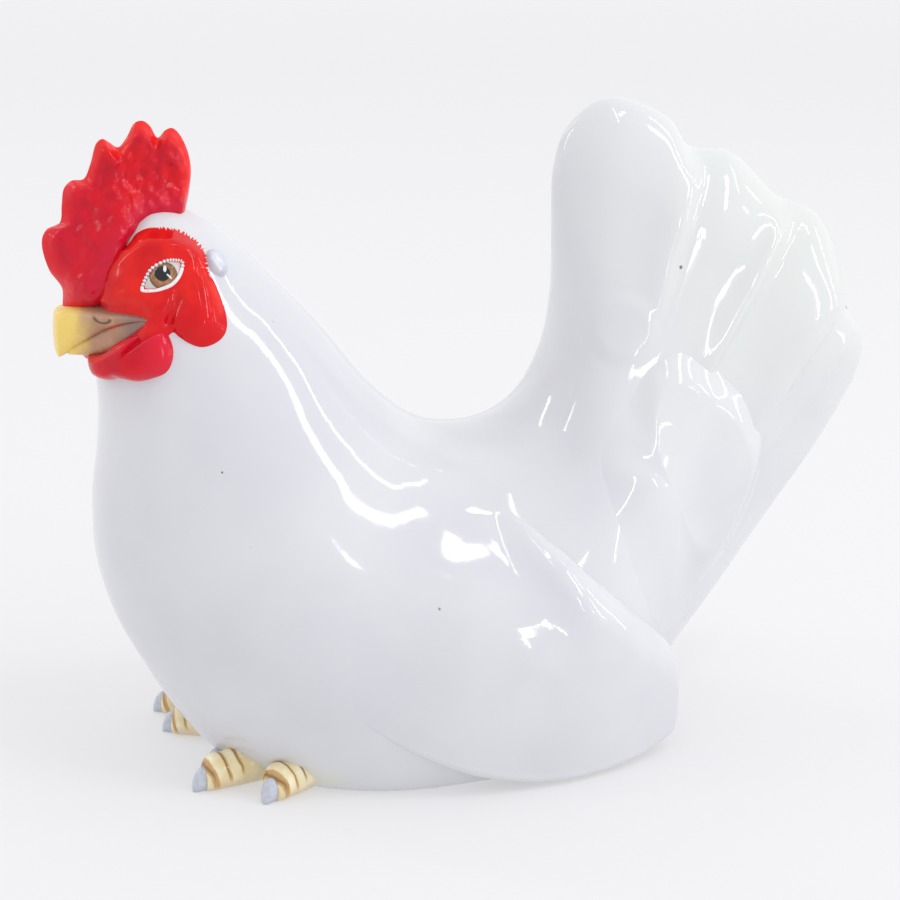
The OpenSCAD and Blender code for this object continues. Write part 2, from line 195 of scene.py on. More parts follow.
# Where the camera stands: turn round the hen, height angle, distance, the point it looks at
CAMERA_TURN = -15
CAMERA_HEIGHT = 16
CAMERA_DISTANCE = 450
CAMERA_TARGET = (-5, 0, 58.3)

# Strip lights: name, turn round the hen, height angle, distance, length, width, roll, power
STRIP_LIGHTS = (
    ("window", 52, 35, 1.2, 0.60, 0.08, 62, 1.8), ("tube", 76, 38, 1.2, 0.6, 0.03, 58, 0.7),
    ("ceiling", 40, 62, 1.2, 0.26, 0.06, 10, 0.9), ("high_tube", 22, 64, 1.2, 0.5, 0.03, 75, 0.5),
    ("side_tube", -95, 32, 1.2, 0.5, 0.04, 80, 0.6), ("front_tube", -131, 35, 1.2, 0.6, 0.05, 85, 0.8),
    ("low", 25, 14, 1.2, 0.16, 0.05, 90, 0.4), ("lamps", 23, 5, 1.2, 0.22, 0.014, 92, 0.25),
    ("more_lamps", 52, 7, 1.2, 0.2, 0.014, 88, 0.25), ("tall_tube", 84, 12, 1.2, 0.55, 0.03, 90, 0.7),
    ("tall_window", 66, 10, 1.2, 0.40, 0.05, 90, 0.5))


# ---------------------------------------------------------------- shapes

def mix(a, b, f):
    """The place between a and b at the share f."""
    return a + (b - a) * f


def smooth(f):
    """A share that leaves 0 and reaches 1 without a corner."""
    f = np.clip(f, 0, 1)
    return f * f * (3 - 2 * f)


def rounded(f):
    """A quarter circle: rises steeply from 0 and is level at 1."""
    return np.sqrt(np.clip(1 - (1 - np.clip(f, 0, 1)) ** 2, 0, None))


def blended(a, b, c, d, f):
    """The smooth cubic between b and c that a and d steer."""
    return 0.5 * (2 * b + (c - a) * f + (2 * a - 5 * b + 4 * c - d) * f**2 + (3 * b - a - 3 * c + d) * f**3)


def seen_from(turn, height):
    """The direction to a place at turn round the hen from its left side and at a height angle, in degrees."""
    turn, height = math.radians(turn), math.radians(height)
    return Vector((math.sin(turn) * math.cos(height), -math.cos(turn) * math.cos(height), math.sin(height)))


def curve(points, f):
    """A smooth line through points, f from 0 at the first to 1 at the last."""
    count = len(points) - 1
    place = np.clip(f, 0, 1) * count
    i = np.minimum(place.astype(int), count - 1)
    padded = np.concatenate([2 * points[:1] - points[1:2], points, 2 * points[-1:] - points[-2:-1]])
    return blended(padded[i], padded[i + 1], padded[i + 2], padded[i + 3], (place - i)[..., None])


def closed_curve(points, f):
    """A smooth closed line through points, f from 0 to 1 once round."""
    count = len(points)
    place = np.asarray(f) * count
    i = place.astype(int)
    around = [points[(i + step) % count] for step in (-1, 0, 1, 2)]
    return blended(*around, (place - i)[..., None])


def along_x(table, x):
    """The second column of a table where its first column is x, on a smooth line."""
    fine = curve(table, np.linspace(0, 1, 400))
    return np.interp(x, fine[:, 0], fine[:, 1])


def lumps(points, size, seed):
    """Even random waves from -1 to 1: the mean of sines along many directions, about size apart."""
    chance = np.random.default_rng(seed)
    directions = chance.normal(size=(14, 3))
    wave = 2 * math.pi / size / np.linalg.norm(directions, axis=1) * chance.uniform(0.7, 1.4, 14)
    directions *= wave[:, None]
    return np.sin(points @ directions.T + chance.uniform(0, 2 * math.pi, 14)).mean(-1) * 2.2


def skin_place(u, t):
    """The skin's side view at u along the hen and t from the upper to the lower edge, and its section there.
    Each section is a straight line, bent at the tail so that its end follows the feather ends."""
    section = curve(SKIN_SECTIONS, u)
    fan = np.clip((u - TAIL_START) / (1 - TAIL_START), 0, 1) ** FAN_POWER
    swell = curve(FEATHER_ENDS, t) - mix(FEATHER_ENDS[0], FEATHER_ENDS[-1], np.asarray(t)[..., None])
    corner = FRONT_FEATHER_DROP * (1 - rounded(t / 0.08)) * np.clip((u - 0.86) / 0.14, 0, 1) ** 2
    place = mix(section[..., :2], section[..., 2:4], t[..., None]) + fan[..., None] * swell
    return place - corner[..., None] * [0, 1], section


def skin(u, around):
    """A point of the skin in millimetres: around runs once round the section from its upper edge, over the
    right side and back over the left. The half width times the sine of around, with a lean, and rounded off
    at the face and at the feather ends."""
    u, around = np.broadcast_arrays(np.asarray(u, float), np.asarray(around, float))
    t = (1 - np.cos(around)) / 2
    place, section = skin_place(u, t)
    lean = section[..., 5]
    wide = np.sqrt((1 + lean * (1 - t)) * (1 - lean * t))
    y = section[..., 4] * np.sin(around) * wide * rounded(u / END_ROUND) * rounded((1 - u) / END_ROUND)
    return np.stack([place[..., 0], y, place[..., 1]], -1)


def around_of(t):
    """The way round a section, on the right side, at which t is reached."""
    return np.arccos(np.clip(1 - 2 * np.asarray(t), -1, 1))


def out_of_skin(u, around):
    """The direction straight out of the skin, from the differences of near points."""
    near = 0.002
    along = skin(u + near, around) - skin(u - near, around)
    across = skin(u, around + near) - skin(u, around - near)
    normal = np.cross(along, across)
    return normal / np.linalg.norm(normal, axis=-1, keepdims=True)


def raised(u, t, height):
    """A point over the right side of the skin, height out from it."""
    around = around_of(t)
    return skin(u, around) + out_of_skin(u, around) * np.asarray(height)[..., None]


def feather_relief(u, t):
    """How far the tail's feathers stand out: each swells towards its rear edge and steps down there."""
    height = np.zeros(np.broadcast(u, t).shape)
    for root, end, step, width in FEATHER_STEPS:
        past = t - mix(root, end, np.clip((u - 0.87) / 0.13, 0, 1))
        height += step * smooth(1 + past / 0.16) ** 2 * (1 - smooth(past / width))
    return height * smooth((u - 0.83) / 0.08) * smooth((1 - u) / 0.03)


def glazed_skin(u, around):
    """The finished skin: the plain skin with the tail's feathers and the small round one over their roots,
    turned under softly at the ground and hollow above the foot slab."""
    plain = skin(u, around)
    t = (1 - np.cos(around)) / 2
    u, t = np.broadcast_arrays(u, t)
    height = feather_relief(u, t)
    from_covert = np.hypot(plain[..., 0] - SMALL_COVERT_AT[0], plain[..., 2] - SMALL_COVERT_AT[1])
    height += 0.5 * (1 - smooth((from_covert / SMALL_COVERT_RADIUS - 0.62) / 0.50)) * smooth(t / 0.03)
    outwards = out_of_skin(np.clip(u, 0.004, 0.996), np.broadcast_arrays(around, t)[0])
    point = plain + outwards * height[..., None]
    below = point[..., 2]
    slab = (np.abs((point[..., 0] - SLAB_MIDDLE_X) / SLAB_HALF[0]) ** SLAB_POWER
            + np.abs(point[..., 1] / SLAB_HALF[1]) ** SLAB_POWER) ** (1 / SLAB_POWER)
    turned = FOOT_EDGE + FOOT_ROUND * np.logaddexp(0, (below - FOOT_EDGE) / FOOT_ROUND)
    hollow = HOLLOW_HEIGHT * smooth((0.95 - slab) / 0.3) * smooth((FOOT_EDGE - below) / 3)
    point[..., 2] = turned + hollow
    return point


def skin_side(x, z):
    """How far the plain skin stands from the middle plane at x, z of the side view: the nearest point of a
    coarse net, brought closer by Newton steps."""
    net_u, net_t = np.meshgrid(np.linspace(0.02, 0.98, 70), np.linspace(0.02, 0.98, 40), indexing="ij")
    net = skin_place(net_u, net_t)[0].reshape(-1, 2)
    goal = np.stack([x, z], -1).reshape(-1, 2)
    parts = [np.argmin(((part[:, None] - net[None]) ** 2).sum(-1), 1) for part in np.array_split(goal, 24)]
    nearest = np.concatenate(parts)
    u, t = net_u.ravel()[nearest], net_t.ravel()[nearest]
    near = 1e-4
    for _ in range(6):
        here = skin_place(u, t)[0]
        by_u = (skin_place(u + near, t)[0] - here) / near
        by_t = (skin_place(u, t + near)[0] - here) / near
        off = goal - here
        size = by_u[:, 0] * by_t[:, 1] - by_u[:, 1] * by_t[:, 0]
        u = np.clip(u + (off[:, 0] * by_t[:, 1] - off[:, 1] * by_t[:, 0]) / size, 0.01, 0.99)
        t = np.clip(t + (by_u[:, 0] * off[:, 1] - by_u[:, 1] * off[:, 0]) / size, 0, 1)
    missed = np.linalg.norm(goal - skin_place(u, t)[0], axis=-1)
    return (skin(u, around_of(t))[:, 1] * (missed < 0.5)).reshape(np.shape(x))


# ---------------------------------------------------------------- meshes

def tube_faces(rows, columns, first=0):
    """Four-sided faces of a tube of rows rings with columns points each."""
    row, column = np.meshgrid(np.arange(rows - 1), np.arange(columns), indexing="ij")
    a = first + row * columns + column
    b = first + row * columns + (column + 1) % columns
    return np.stack([a, b, b + columns, a + columns], -1).reshape(-1, 4)


def fan_faces(ring, pole):
    """Three-sided faces from a ring of point numbers to a pole."""
    return np.stack([ring, np.roll(ring, -1), np.full(len(ring), pole)], -1)


def welded(points, faces, normals, marks):
    """The same surface with points that lie on each other made one, and faces that vanish left out."""
    key = np.round(points * 1e4).astype(np.int64)
    _, first, number = np.unique(key, axis=0, return_index=True, return_inverse=True)
    number = number.ravel()
    kept = []
    for part in faces:
        part = number[part]
        same = part == np.roll(part, 1, axis=1)
        kept.append(part[~same.any(1)])
        short = part[same.sum(1) == 1]
        if part.shape[1] == 4 and len(short):
            once = ~same[same.sum(1) == 1]
            kept.append(short[once].reshape(-1, 3))
    kept_normals = None if normals is None else normals[first]
    return points[first], kept, kept_normals, {n: v[first] for n, v in marks.items()}


def build(name, points, faces, finish, stands_for, normals=None, marks=None, weld=True):
    """Makes a closed piece from points in millimetres and lists of faces, turned to face outwards, and rides it
    on the hen. Marks are numbers at each point that the finish reads."""
    points = np.asarray(points, float).reshape(-1, 3) * SCALE
    marks = {n: np.asarray(v, float).ravel() for n, v in (marks or {}).items()}
    if normals is not None:
        normals = np.asarray(normals, float).reshape(-1, 3)
    if weld:
        points, faces, normals, marks = welded(points, faces, normals, marks)
    volume = sum(np.einsum("ij,ij->", points[f[:, 0]], np.cross(points[f[:, k]], points[f[:, k + 1]]))
                 for f in faces for k in range(1, f.shape[1] - 1))
    if volume < 0:
        faces = [f[:, ::-1] for f in faces]
    sizes = np.concatenate([np.full(len(f), f.shape[1]) for f in faces])
    corners = np.concatenate([f.ravel() for f in faces])
    mesh = bpy.data.meshes.new(name)
    mesh.vertices.add(len(points))
    mesh.vertices.foreach_set("co", (points * MM).astype(np.float32).ravel())
    mesh.loops.add(len(corners))
    mesh.loops.foreach_set("vertex_index", corners.astype(np.int32))
    mesh.polygons.add(len(sizes))
    mesh.polygons.foreach_set("loop_start", np.concatenate([[0], np.cumsum(sizes)[:-1]]).astype(np.int32))
    mesh.update(calc_edges=True)
    mesh.polygons.foreach_set("use_smooth", np.ones(len(sizes), bool))
    for mark, values in marks.items():
        mesh.attributes.new(mark, "FLOAT", "POINT").data.foreach_set("value", values.astype(np.float32))
    if normals is not None:
        mesh.normals_split_custom_set_from_vertices(normals.tolist())
    if mesh.validate():
        raise RuntimeError(f"{name} has a broken face")
    made = bpy.data.objects.new(name, mesh)
    bpy.context.scene.collection.objects.link(made)
    made.data.materials.append(finish)
    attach(made, BODY)
    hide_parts(*stands_for)
    return made


def capped_faces(rows, columns):
    """Faces of a tube of rings, closed at each end by a fan to a pole that follows the rings."""
    count = rows * columns
    return [tube_faces(rows, columns), fan_faces(np.arange(columns)[::-1], count),
            fan_faces(np.arange(count - columns, count), count + 1)]


def cushion(line, middle, heights, sink, side, rings=44, columns=200, edge=1.0):
    """A low form on the skin: rings that shrink from a closed line of places u, t to its middle, raised by
    heights(share of the way out, place on the line), and closed by a pole sunk under the skin."""
    share = np.sin(np.linspace(0.02, 1, rings) * math.pi / 2)[:, None] ** edge
    outline = closed_curve(line, np.arange(columns) / columns)
    share, turn = np.broadcast_arrays(share, np.arange(columns)[None] / columns)
    places = mix(np.array(middle), outline[None], share[..., None])
    height = heights(share, places[..., 0], places[..., 1], np.broadcast_to(outline, (*share.shape, 2)))
    points = raised(places[..., 0], places[..., 1], height)
    poles = raised(*(np.full(2, value) for value in middle), np.array([height[0].mean(), -sink]))
    points = np.concatenate([points.reshape(-1, 3), poles]) * [1, side, 1]
    marks = {"out": np.append(share.ravel(), [0, 1]), "turn": np.append(turn.ravel(), [0, 0])}
    return points, capped_faces(rings, columns), marks


def closed_tube(points):
    """Faces of a tube of rings, with a pole at each end in the middle of its last ring."""
    poles = np.stack([points[0].mean(0), points[-1].mean(0)])
    return np.concatenate([points.reshape(-1, 3), poles]), capped_faces(*points.shape[:2])


# ---------------------------------------------------------------- finishes

class Wire:
    """A number that varies over a surface. Sums with it add Math nodes to its finish."""

    def __init__(self, finish, socket):
        self.finish, self.socket = finish, socket

    def math(self, operation, *others, clamp=False):
        values = dict(enumerate([self, *others]))
        return self.finish.add("ShaderNodeMath", {"operation": operation, "use_clamp": clamp}, values).out()

    def __add__(self, other):
        return self.math("ADD", other)

    def __sub__(self, other):
        return self.math("SUBTRACT", other)

    def __mul__(self, other):
        return self.math("MULTIPLY", other)

    def __truediv__(self, other):
        return self.math("DIVIDE", other)

    def __pow__(self, other):
        return self.math("POWER", other)

    def __rsub__(self, other):
        return (self * -1) + other

    __radd__ = __add__
    __rmul__ = __mul__

    def clipped(self):
        return self.math("ADD", 0, clamp=True)

    def step(self, low, high):
        """0 below low, 1 above high, and smooth between."""
        settings = {"interpolation_type": "SMOOTHSTEP", "clamp": True}
        values = {"Value": self, "From Min": low, "From Max": high}
        return self.finish.add("ShaderNodeMapRange", settings, values).out()

    def band(self, middle, half, soft):
        """1 within half of the middle, and 0 beyond half plus soft."""
        return 1 - (self - middle).math("ABSOLUTE").step(half, half + soft)


class Added:
    """A node that was added to a finish."""

    def __init__(self, finish, node):
        self.finish, self.node = finish, node

    def out(self, name=0):
        return Wire(self.finish, self.node.outputs[name])


class Finish:
    """A glaze or paint: a material whose nodes are added one by one."""

    def __init__(self, name, roughness, gloss=0.5):
        self.material = bpy.data.materials.new(name)
        self.material.use_nodes = True
        self.tree = self.material.node_tree
        self.shader = self.tree.nodes["Principled BSDF"]
        self.shader.inputs["Roughness"].default_value = roughness
        self.shader.inputs["Specular IOR Level"].default_value = gloss

    def add(self, kind, settings=None, values=None):
        node = self.tree.nodes.new(kind)
        for name, value in (settings or {}).items():
            setattr(node, name, value)
        for name, value in (values or {}).items():
            self.put(node.inputs[name], value)
        return Added(self, node)

    def put(self, socket, value):
        if isinstance(value, Wire):
            self.tree.links.new(value.socket, socket)
        elif socket.type == "RGBA":
            socket.default_value = (*value, 1.0)
        else:
            socket.default_value = value

    def place(self):
        """The place on the hen in millimetres."""
        coordinates = self.add("ShaderNodeTexCoord").out("Object")
        settings = {"operation": "SCALE"}
        return self.add("ShaderNodeVectorMath", settings, {0: coordinates, "Scale": 1 / MM}).out()

    def axes(self):
        split = self.add("ShaderNodeSeparateXYZ", values={0: self.place()})
        return [split.out(axis) for axis in "XYZ"]

    def mark(self, name):
        return self.add("ShaderNodeAttribute", {"attribute_name": name}).out("Fac")

    def noise(self, size, detail=2.0, rough=0.5):
        """Cloudy variation from 0 to 1 with patches of that size in millimetres."""
        values = {"Vector": self.place(), "Scale": 1 / size, "Detail": detail, "Roughness": rough}
        return self.add("ShaderNodeTexNoise", values=values).out("Fac")

    def dots(self, size, radius):
        """Scattered round dots of that radius, about size apart, in millimetres."""
        values = {"Vector": self.place(), "Scale": 1 / size}
        distance = self.add("ShaderNodeTexVoronoi", values=values).out("Distance")
        return 1 - distance.step(radius / size * 0.6, radius / size)

    def paint(self, share, under, over):
        """The colour over laid on the colour under where share is 1."""
        node = self.add("ShaderNodeMix", {"data_type": "RGBA"})
        for socket, value in ((0, share), (6, under), (7, over)):
            self.put(node.node.inputs[socket], value)
        return node.out(2)

    def finish(self, colour, roughness=None, bumps=()):
        """Joins the colour and the relief, a list of height in millimetres and strength."""
        self.put(self.shader.inputs["Base Color"], colour)
        if roughness is not None:
            self.put(self.shader.inputs["Roughness"], roughness)
        normal = None
        for height, depth in bumps:
            values = {"Height": height, "Distance": depth * MM, "Strength": 1.0}
            if normal:
                values["Normal"] = normal
            normal = self.add("ShaderNodeBump", values=values).out()
        if normal:
            self.put(self.shader.inputs["Normal"], normal)
        return self.material


def glaze_waves(finish):
    """The slow waves that melted glaze keeps, and the fine ones over them."""
    return [(finish.noise(9.0, 1.0), 0.10), (finish.noise(2.2, 2.0), 0.012)]


def white_glaze(name, colours, toe_tint=False):
    """Milk-white glaze: cool in the shade of the body, warmer at the tail, pooled thinner here and there, with
    pin specks of iron and faint yellow where the brush went past the toes."""
    finish = Finish(name, 0.07)
    x, y, z = finish.axes()
    cloud = finish.noise(26.0, 2.0)
    tint = finish.paint(cloud.step(0.35, 0.7), colours.white, colours.white_cool)
    warm = (x.step(5, 60) * z.step(40, 95)).clipped()
    tint = finish.paint(warm * (0.35 + cloud * 0.5), tint, colours.white_warm)
    tint = finish.paint(finish.noise(3.2, 3.0).step(0.62, 0.8) * 0.10, tint, colours.white_warm)
    if toe_tint:
        patch = (1 - ((x + 42) * (x + 42) * 0.006 + z * z * 0.012).math("SQRT").step(0.35, 1.1))
        patch = patch * y.math("ABSOLUTE").step(14, 24) * finish.noise(5.0, 2.0).step(0.3, 0.75)
        tint = finish.paint(patch * 0.75, tint, colours.toe_wash)
    specks = None
    for *spot, radius in SPECKS:
        distance = finish.add("ShaderNodeVectorMath", {"operation": "DISTANCE"}, {0: finish.place(), 1: spot})
        near = 1 - distance.out("Value").step(radius / 2, radius)
        specks = specks + near if specks else near
    tint = finish.paint(specks * 0.85, tint, colours.speck)
    faint = finish.dots(9.0, 0.28) * finish.noise(7.0, 0.0).step(0.5, 0.62)
    tint = finish.paint(faint * 0.3, tint, colours.speck)
    rough = finish.noise(14.0, 2.0) * 0.05 + 0.045
    return finish.finish(tint, rough, glaze_waves(finish) + [(specks, -0.10)])


def comb_glaze(colours):
    """Comb red: deep crimson in the hollows, scarlet on the rounded rims, with darker flecks of pigment."""
    finish = Finish("comb red glaze", 0.12, 0.24)
    rim = finish.mark("out")
    patch = finish.noise(3.4, 3.0)
    red = finish.paint(patch.step(0.3, 0.7), colours.comb_deep, colours.comb)
    red = finish.paint((rim.step(0.80, 0.97) * 0.85), red, colours.comb_light)
    front = finish.axes()[0].step(-68, -80)
    red = finish.paint(front * 0.35, red, colours.comb_rose)
    flecks = finish.dots(2.6, 0.55) * finish.noise(3.0, 1.0).step(0.5, 0.65)
    red = finish.paint(flecks * 0.35, red, colours.comb_dark)
    edge = finish.mark("root")
    red = finish.paint(edge * (0.6 + patch * 0.4), red, colours.comb_rose)
    grain = finish.noise(1.1, 2.0)
    rough = finish.noise(4.0, 1.0) * 0.14 + 0.08
    return finish.finish(red, rough, [(finish.noise(2.6, 1.0), 0.30), (grain, 0.07)])


def face_glaze(colours):
    """Face red: scarlet washed over crimson, brushed out in short strokes towards the back of the head."""
    finish = Finish("face red glaze", 0.10, 0.24)
    wash = finish.noise(5.5, 3.0)
    red = finish.paint(wash.step(0.32, 0.68), colours.face_deep, colours.face)
    red = finish.paint(finish.mark("low") * 0.55, red, colours.comb)
    blots = finish.dots(4.2, 1.1) * finish.noise(4.0, 1.0).step(0.45, 0.6)
    red = finish.paint(blots * 0.4, red, colours.face_deep)
    slant = finish.mark("turn") * 200 + finish.mark("out") * 8
    bristles = finish.add("ShaderNodeTexNoise", {"noise_dimensions": "1D"}, {"W": slant, "Scale": 1.0}).out()
    strokes = finish.mark("out") + finish.mark("back") * (bristles - 0.5) * 0.24
    red = finish.paint(strokes.step(0.84, 0.86) * finish.mark("back").step(0.1, 0.4), red, colours.white)
    rough = finish.noise(6.0, 1.0) * 0.08 + 0.06
    return finish.finish(red, rough, [(finish.noise(3.5, 1.0), 0.12), (finish.noise(1.3, 2.0), 0.02)])


def wattle_glaze(colours):
    """Wattle red: rose crimson, thin and pinker at the lower edge."""
    finish = Finish("wattle red glaze", 0.11, 0.24)
    wash = finish.noise(4.5, 3.0)
    red = finish.paint(wash.step(0.3, 0.7), colours.comb_deep, colours.comb)
    red = finish.paint(finish.mark("out").step(0.3, 1.0) * 0.7, red, colours.wattle_rose)
    flecks = finish.dots(3.2, 0.7) * finish.noise(3.0, 1.0).step(0.5, 0.65)
    red = finish.paint(flecks * 0.3, red, colours.comb_dark)
    return finish.finish(red, None, [(finish.noise(3.0, 1.0), 0.16), (finish.noise(1.2, 2.0), 0.03)])


def beak_glaze(name, colours, upper):
    """Beak paint: lemon at the tip washed into horn brown at the root, with a brown mouth line and nostril."""
    finish = Finish(name, 0.28)
    x, _, z = finish.axes()
    wash = finish.noise(2.6, 3.0)
    horn = finish.paint(wash.step(0.3, 0.7), colours.horn, colours.horn_pink)
    tint = finish.paint((x + (wash - 0.5) * 3.5).step(-79.5, -75.0), colours.beak, horn)
    tint = finish.paint((x + wash * 2.0).step(-71.5, -68.0) * 0.8, tint, colours.horn_dark)
    tint = finish.paint(finish.mark("lip").step(0.80, 0.97) * (x.step(-81.8, -79.0) * 0.95), tint, colours.line)
    if upper:
        nostril = ((x + 74.0) * (x + 74.0) * 0.62 + (z - 91.3) * (z - 91.3) * 1.3).math("SQRT")
        tint = finish.paint(nostril.band(1.0, 0.12, 0.22) * (1 - z.step(91.2, 91.6)) * 0.9, tint, colours.line)
        tint = finish.paint(z.step(91.6, 92.6) * x.step(-78, -73) * 0.6, tint, colours.horn_dark)
    grain = finish.noise(1 / 1.4, 4.0)
    rough = finish.noise(3.0, 1.0) * 0.15 + 0.2
    return finish.finish(tint, rough, [(grain, 0.03), (finish.noise(3.0, 1.0), 0.08)])


def lobe_glaze(colours):
    """Ear lobe: thick grey-blue enamel, paler at its edge."""
    finish = Finish("ear lobe enamel", 0.12)
    cloud = finish.noise(2.2, 2.0)
    grey = finish.paint(cloud.step(0.3, 0.7), colours.lobe, colours.lobe_pale)
    grey = finish.paint(finish.mark("out").step(0.75, 0.95) * 0.5, grey, colours.lobe_pale)
    return finish.finish(grey, None, [(finish.noise(2.0, 1.0), 0.10)])


def eye_glaze(colours):
    """Painted eye: amber iris with a dark ring and fine spokes, black pupil, two strokes of white light."""
    finish = Finish("eye enamel", 0.05)
    across, up = finish.mark("across"), finish.mark("up")
    from_iris = ((across - IRIS_MIDDLE[0]) ** 2 + (up - IRIS_MIDDLE[1]) ** 2).math("SQRT")
    from_pupil = ((across - PUPIL_MIDDLE[0]) ** 2 + (up - PUPIL_MIDDLE[1]) ** 2).math("SQRT")
    spokes = finish.noise(0.5, 2.0)
    amber = finish.paint(spokes.step(0.3, 0.7), colours.iris, colours.iris_light)
    amber = finish.paint(from_iris.step(1.5, 2.25) * 0.45, amber, colours.line)
    tint = finish.paint(from_iris.step(2.35, 2.6), amber, colours.eye_white)
    tint = finish.paint(from_iris.band(2.45, 0.06, 0.16) * 0.9, tint, colours.line)
    tint = finish.paint((across + up * 0.4).step(2.6, 3.2) * 0.6, tint, colours.eye_pink)
    tint = finish.paint(1 - from_pupil.step(1.38, 1.52), tint, colours.pupil)
    tint = finish.paint(finish.mark("out").step(0.86, 0.93), tint, colours.line)
    glint = ((across - 0.45) ** 2 * 5 + (up - 0.15) ** 2 * 1.1).math("SQRT")
    tint = finish.paint(1 - glint.step(0.6, 0.75), tint, colours.glint)
    stroke = across * 0.66 + up * 0.75
    stroke_along = across * 0.75 - up * 0.66
    stroke = stroke.band(-0.15, 0.10, 0.08) * stroke_along.band(1.75, 0.5, 0.12)
    tint = finish.paint(stroke, tint, colours.glint)
    return finish.finish(tint, None, [(spokes, 0.01), (from_pupil.step(1.3, 1.5), -0.03)])


def rim_glaze(colours):
    """Beaded line round the eye in raised white enamel, a little grey between its beads."""
    finish = Finish("eye rim enamel", 0.15)
    white = finish.paint(finish.mark("bead"), colours.rim_shade, colours.rim)
    white = finish.paint(finish.noise(0.6, 1.0).step(0.55, 0.75) * 0.4, white, colours.rim_shade)
    return finish.finish(white, None, [(finish.noise(0.7, 1.0), 0.02)])


def toe_glaze(colours):
    """Toe paint: thin straw yellow that fades into the white body, with bands across in ochre and brown."""
    finish = Finish("toe glaze", 0.2)
    along, over = finish.mark("along"), finish.mark("over")
    wash = finish.noise(3.0, 3.0)
    straw = finish.paint(wash.step(0.3, 0.72), colours.toe, colours.toe_light)
    straw = finish.paint((1 - over.step(0.05, 0.55)) * 0.55, straw, colours.toe_under)
    straw = finish.paint(1 - (along + wash * 0.12).step(0.30, 0.52), straw, colours.toe_wash)
    bent = along - (over - 0.5) * 0.10 + (finish.noise(2.0, 1.0) - 0.5) * 0.03
    for place, half in ((0.93, 0.022), (0.74, 0.012), (0.58, 0.010)):
        line = bent.band(place, half, 0.022) * over.step(0.95 - place, 1.25 - place)
        straw = finish.paint(line * (0.55 + wash * 0.6).clipped(), straw, colours.ochre)
        core = bent.band(place + 0.006, half * 0.2, 0.012) * over.step(0.3, 0.8)
        straw = finish.paint(core * 0.6, straw, colours.line)
    rough = finish.noise(4.0, 1.0) * 0.1 + 0.14
    return finish.finish(straw, rough, [(wash, 0.05), (finish.noise(4.0, 1.0), 0.12)])


def claw_glaze(colours):
    """Claw paint: slate grey, darker at the root and streaked along the claw."""
    finish = Finish("claw glaze", 0.2)
    along, over = finish.mark("along"), finish.mark("over")
    streak = finish.noise(0.9, 3.0)
    grey = finish.paint(streak.step(0.3, 0.75), colours.claw, colours.claw_light)
    grey = finish.paint((1 - over.step(0.0, 0.5)) * 0.4, grey, colours.claw_dark)
    grey = finish.paint((1 - along.step(0.0, 0.12)) * 0.8, grey, colours.line)
    return finish.finish(grey, None, [(streak, 0.03)])


def biscuit(colours):
    """Unglazed foot: matt cream porcelain body with the fine drag of wet grinding and a few kiln marks."""
    finish = Finish("unglazed biscuit", 0.8)
    grain = finish.noise(0.5, 3.0)
    cream = finish.paint(grain.step(0.35, 0.7), colours.biscuit, colours.biscuit_dark)
    cream = finish.paint(finish.noise(12.0, 3.0).step(0.5, 0.75) * 0.4, cream, colours.biscuit_dark)
    cream = finish.paint(finish.dots(7.0, 0.4) * 0.5, cream, colours.speck)
    return finish.finish(cream, finish.noise(5.0, 2.0) * 0.2 + 0.65, [(grain, 0.05)])


# ---------------------------------------------------------------- what a user may change

def length(name, description, millimetres, low, high):
    return bpy.props.FloatProperty(name=name, description=description, default=millimetres * MM, min=low * MM,
                                   max=high * MM, unit="LENGTH", subtype="DISTANCE", precision=4)


def shade(name, description, red, green, blue):
    return bpy.props.FloatVectorProperty(name=name, description=description, default=(red, green, blue),
                                         size=3, min=0.0, max=1.0, subtype="COLOR")


class HenSizes(bpy.types.PropertyGroup):
    covert_rise: length("Tail cushion", "How far the feather cushion at the tail's root stands out", 2.6, 1, 5)
    comb_thickness: length("Comb thickness", "Thickness of the comb at its thick rim", 6.0, 4, 9)
    comb_flare: length("Comb flare", "How far the comb's root spreads on each side", 2.4, 0, 4)
    face_rise: length("Face rise", "Height of the red face above the head", 1.4, 0.8, 2.4)
    lobe_rise: length("Ear lobe rise", "Height of the ear lobe above the red face's edge", 0.6, 0.3, 2)
    wattle_rise: length("Wattle rise", "How far a wattle stands out from the throat", 3.0, 2, 5)
    eye_bulge: length("Eye bulge", "Height of the ball of the eye above the face", 0.9, 0.4, 2)
    rim_thickness: length("Eye rim", "Thickness of the beaded line round the eye", 0.72, 0.4, 1.4)
    toe_thickness: length("Toe thickness", "Thickness of a toe behind its claw", 6.6, 5, 8)
    claw_length: length("Claw length", "Length of a claw beyond its toe", 4.4, 3, 6)


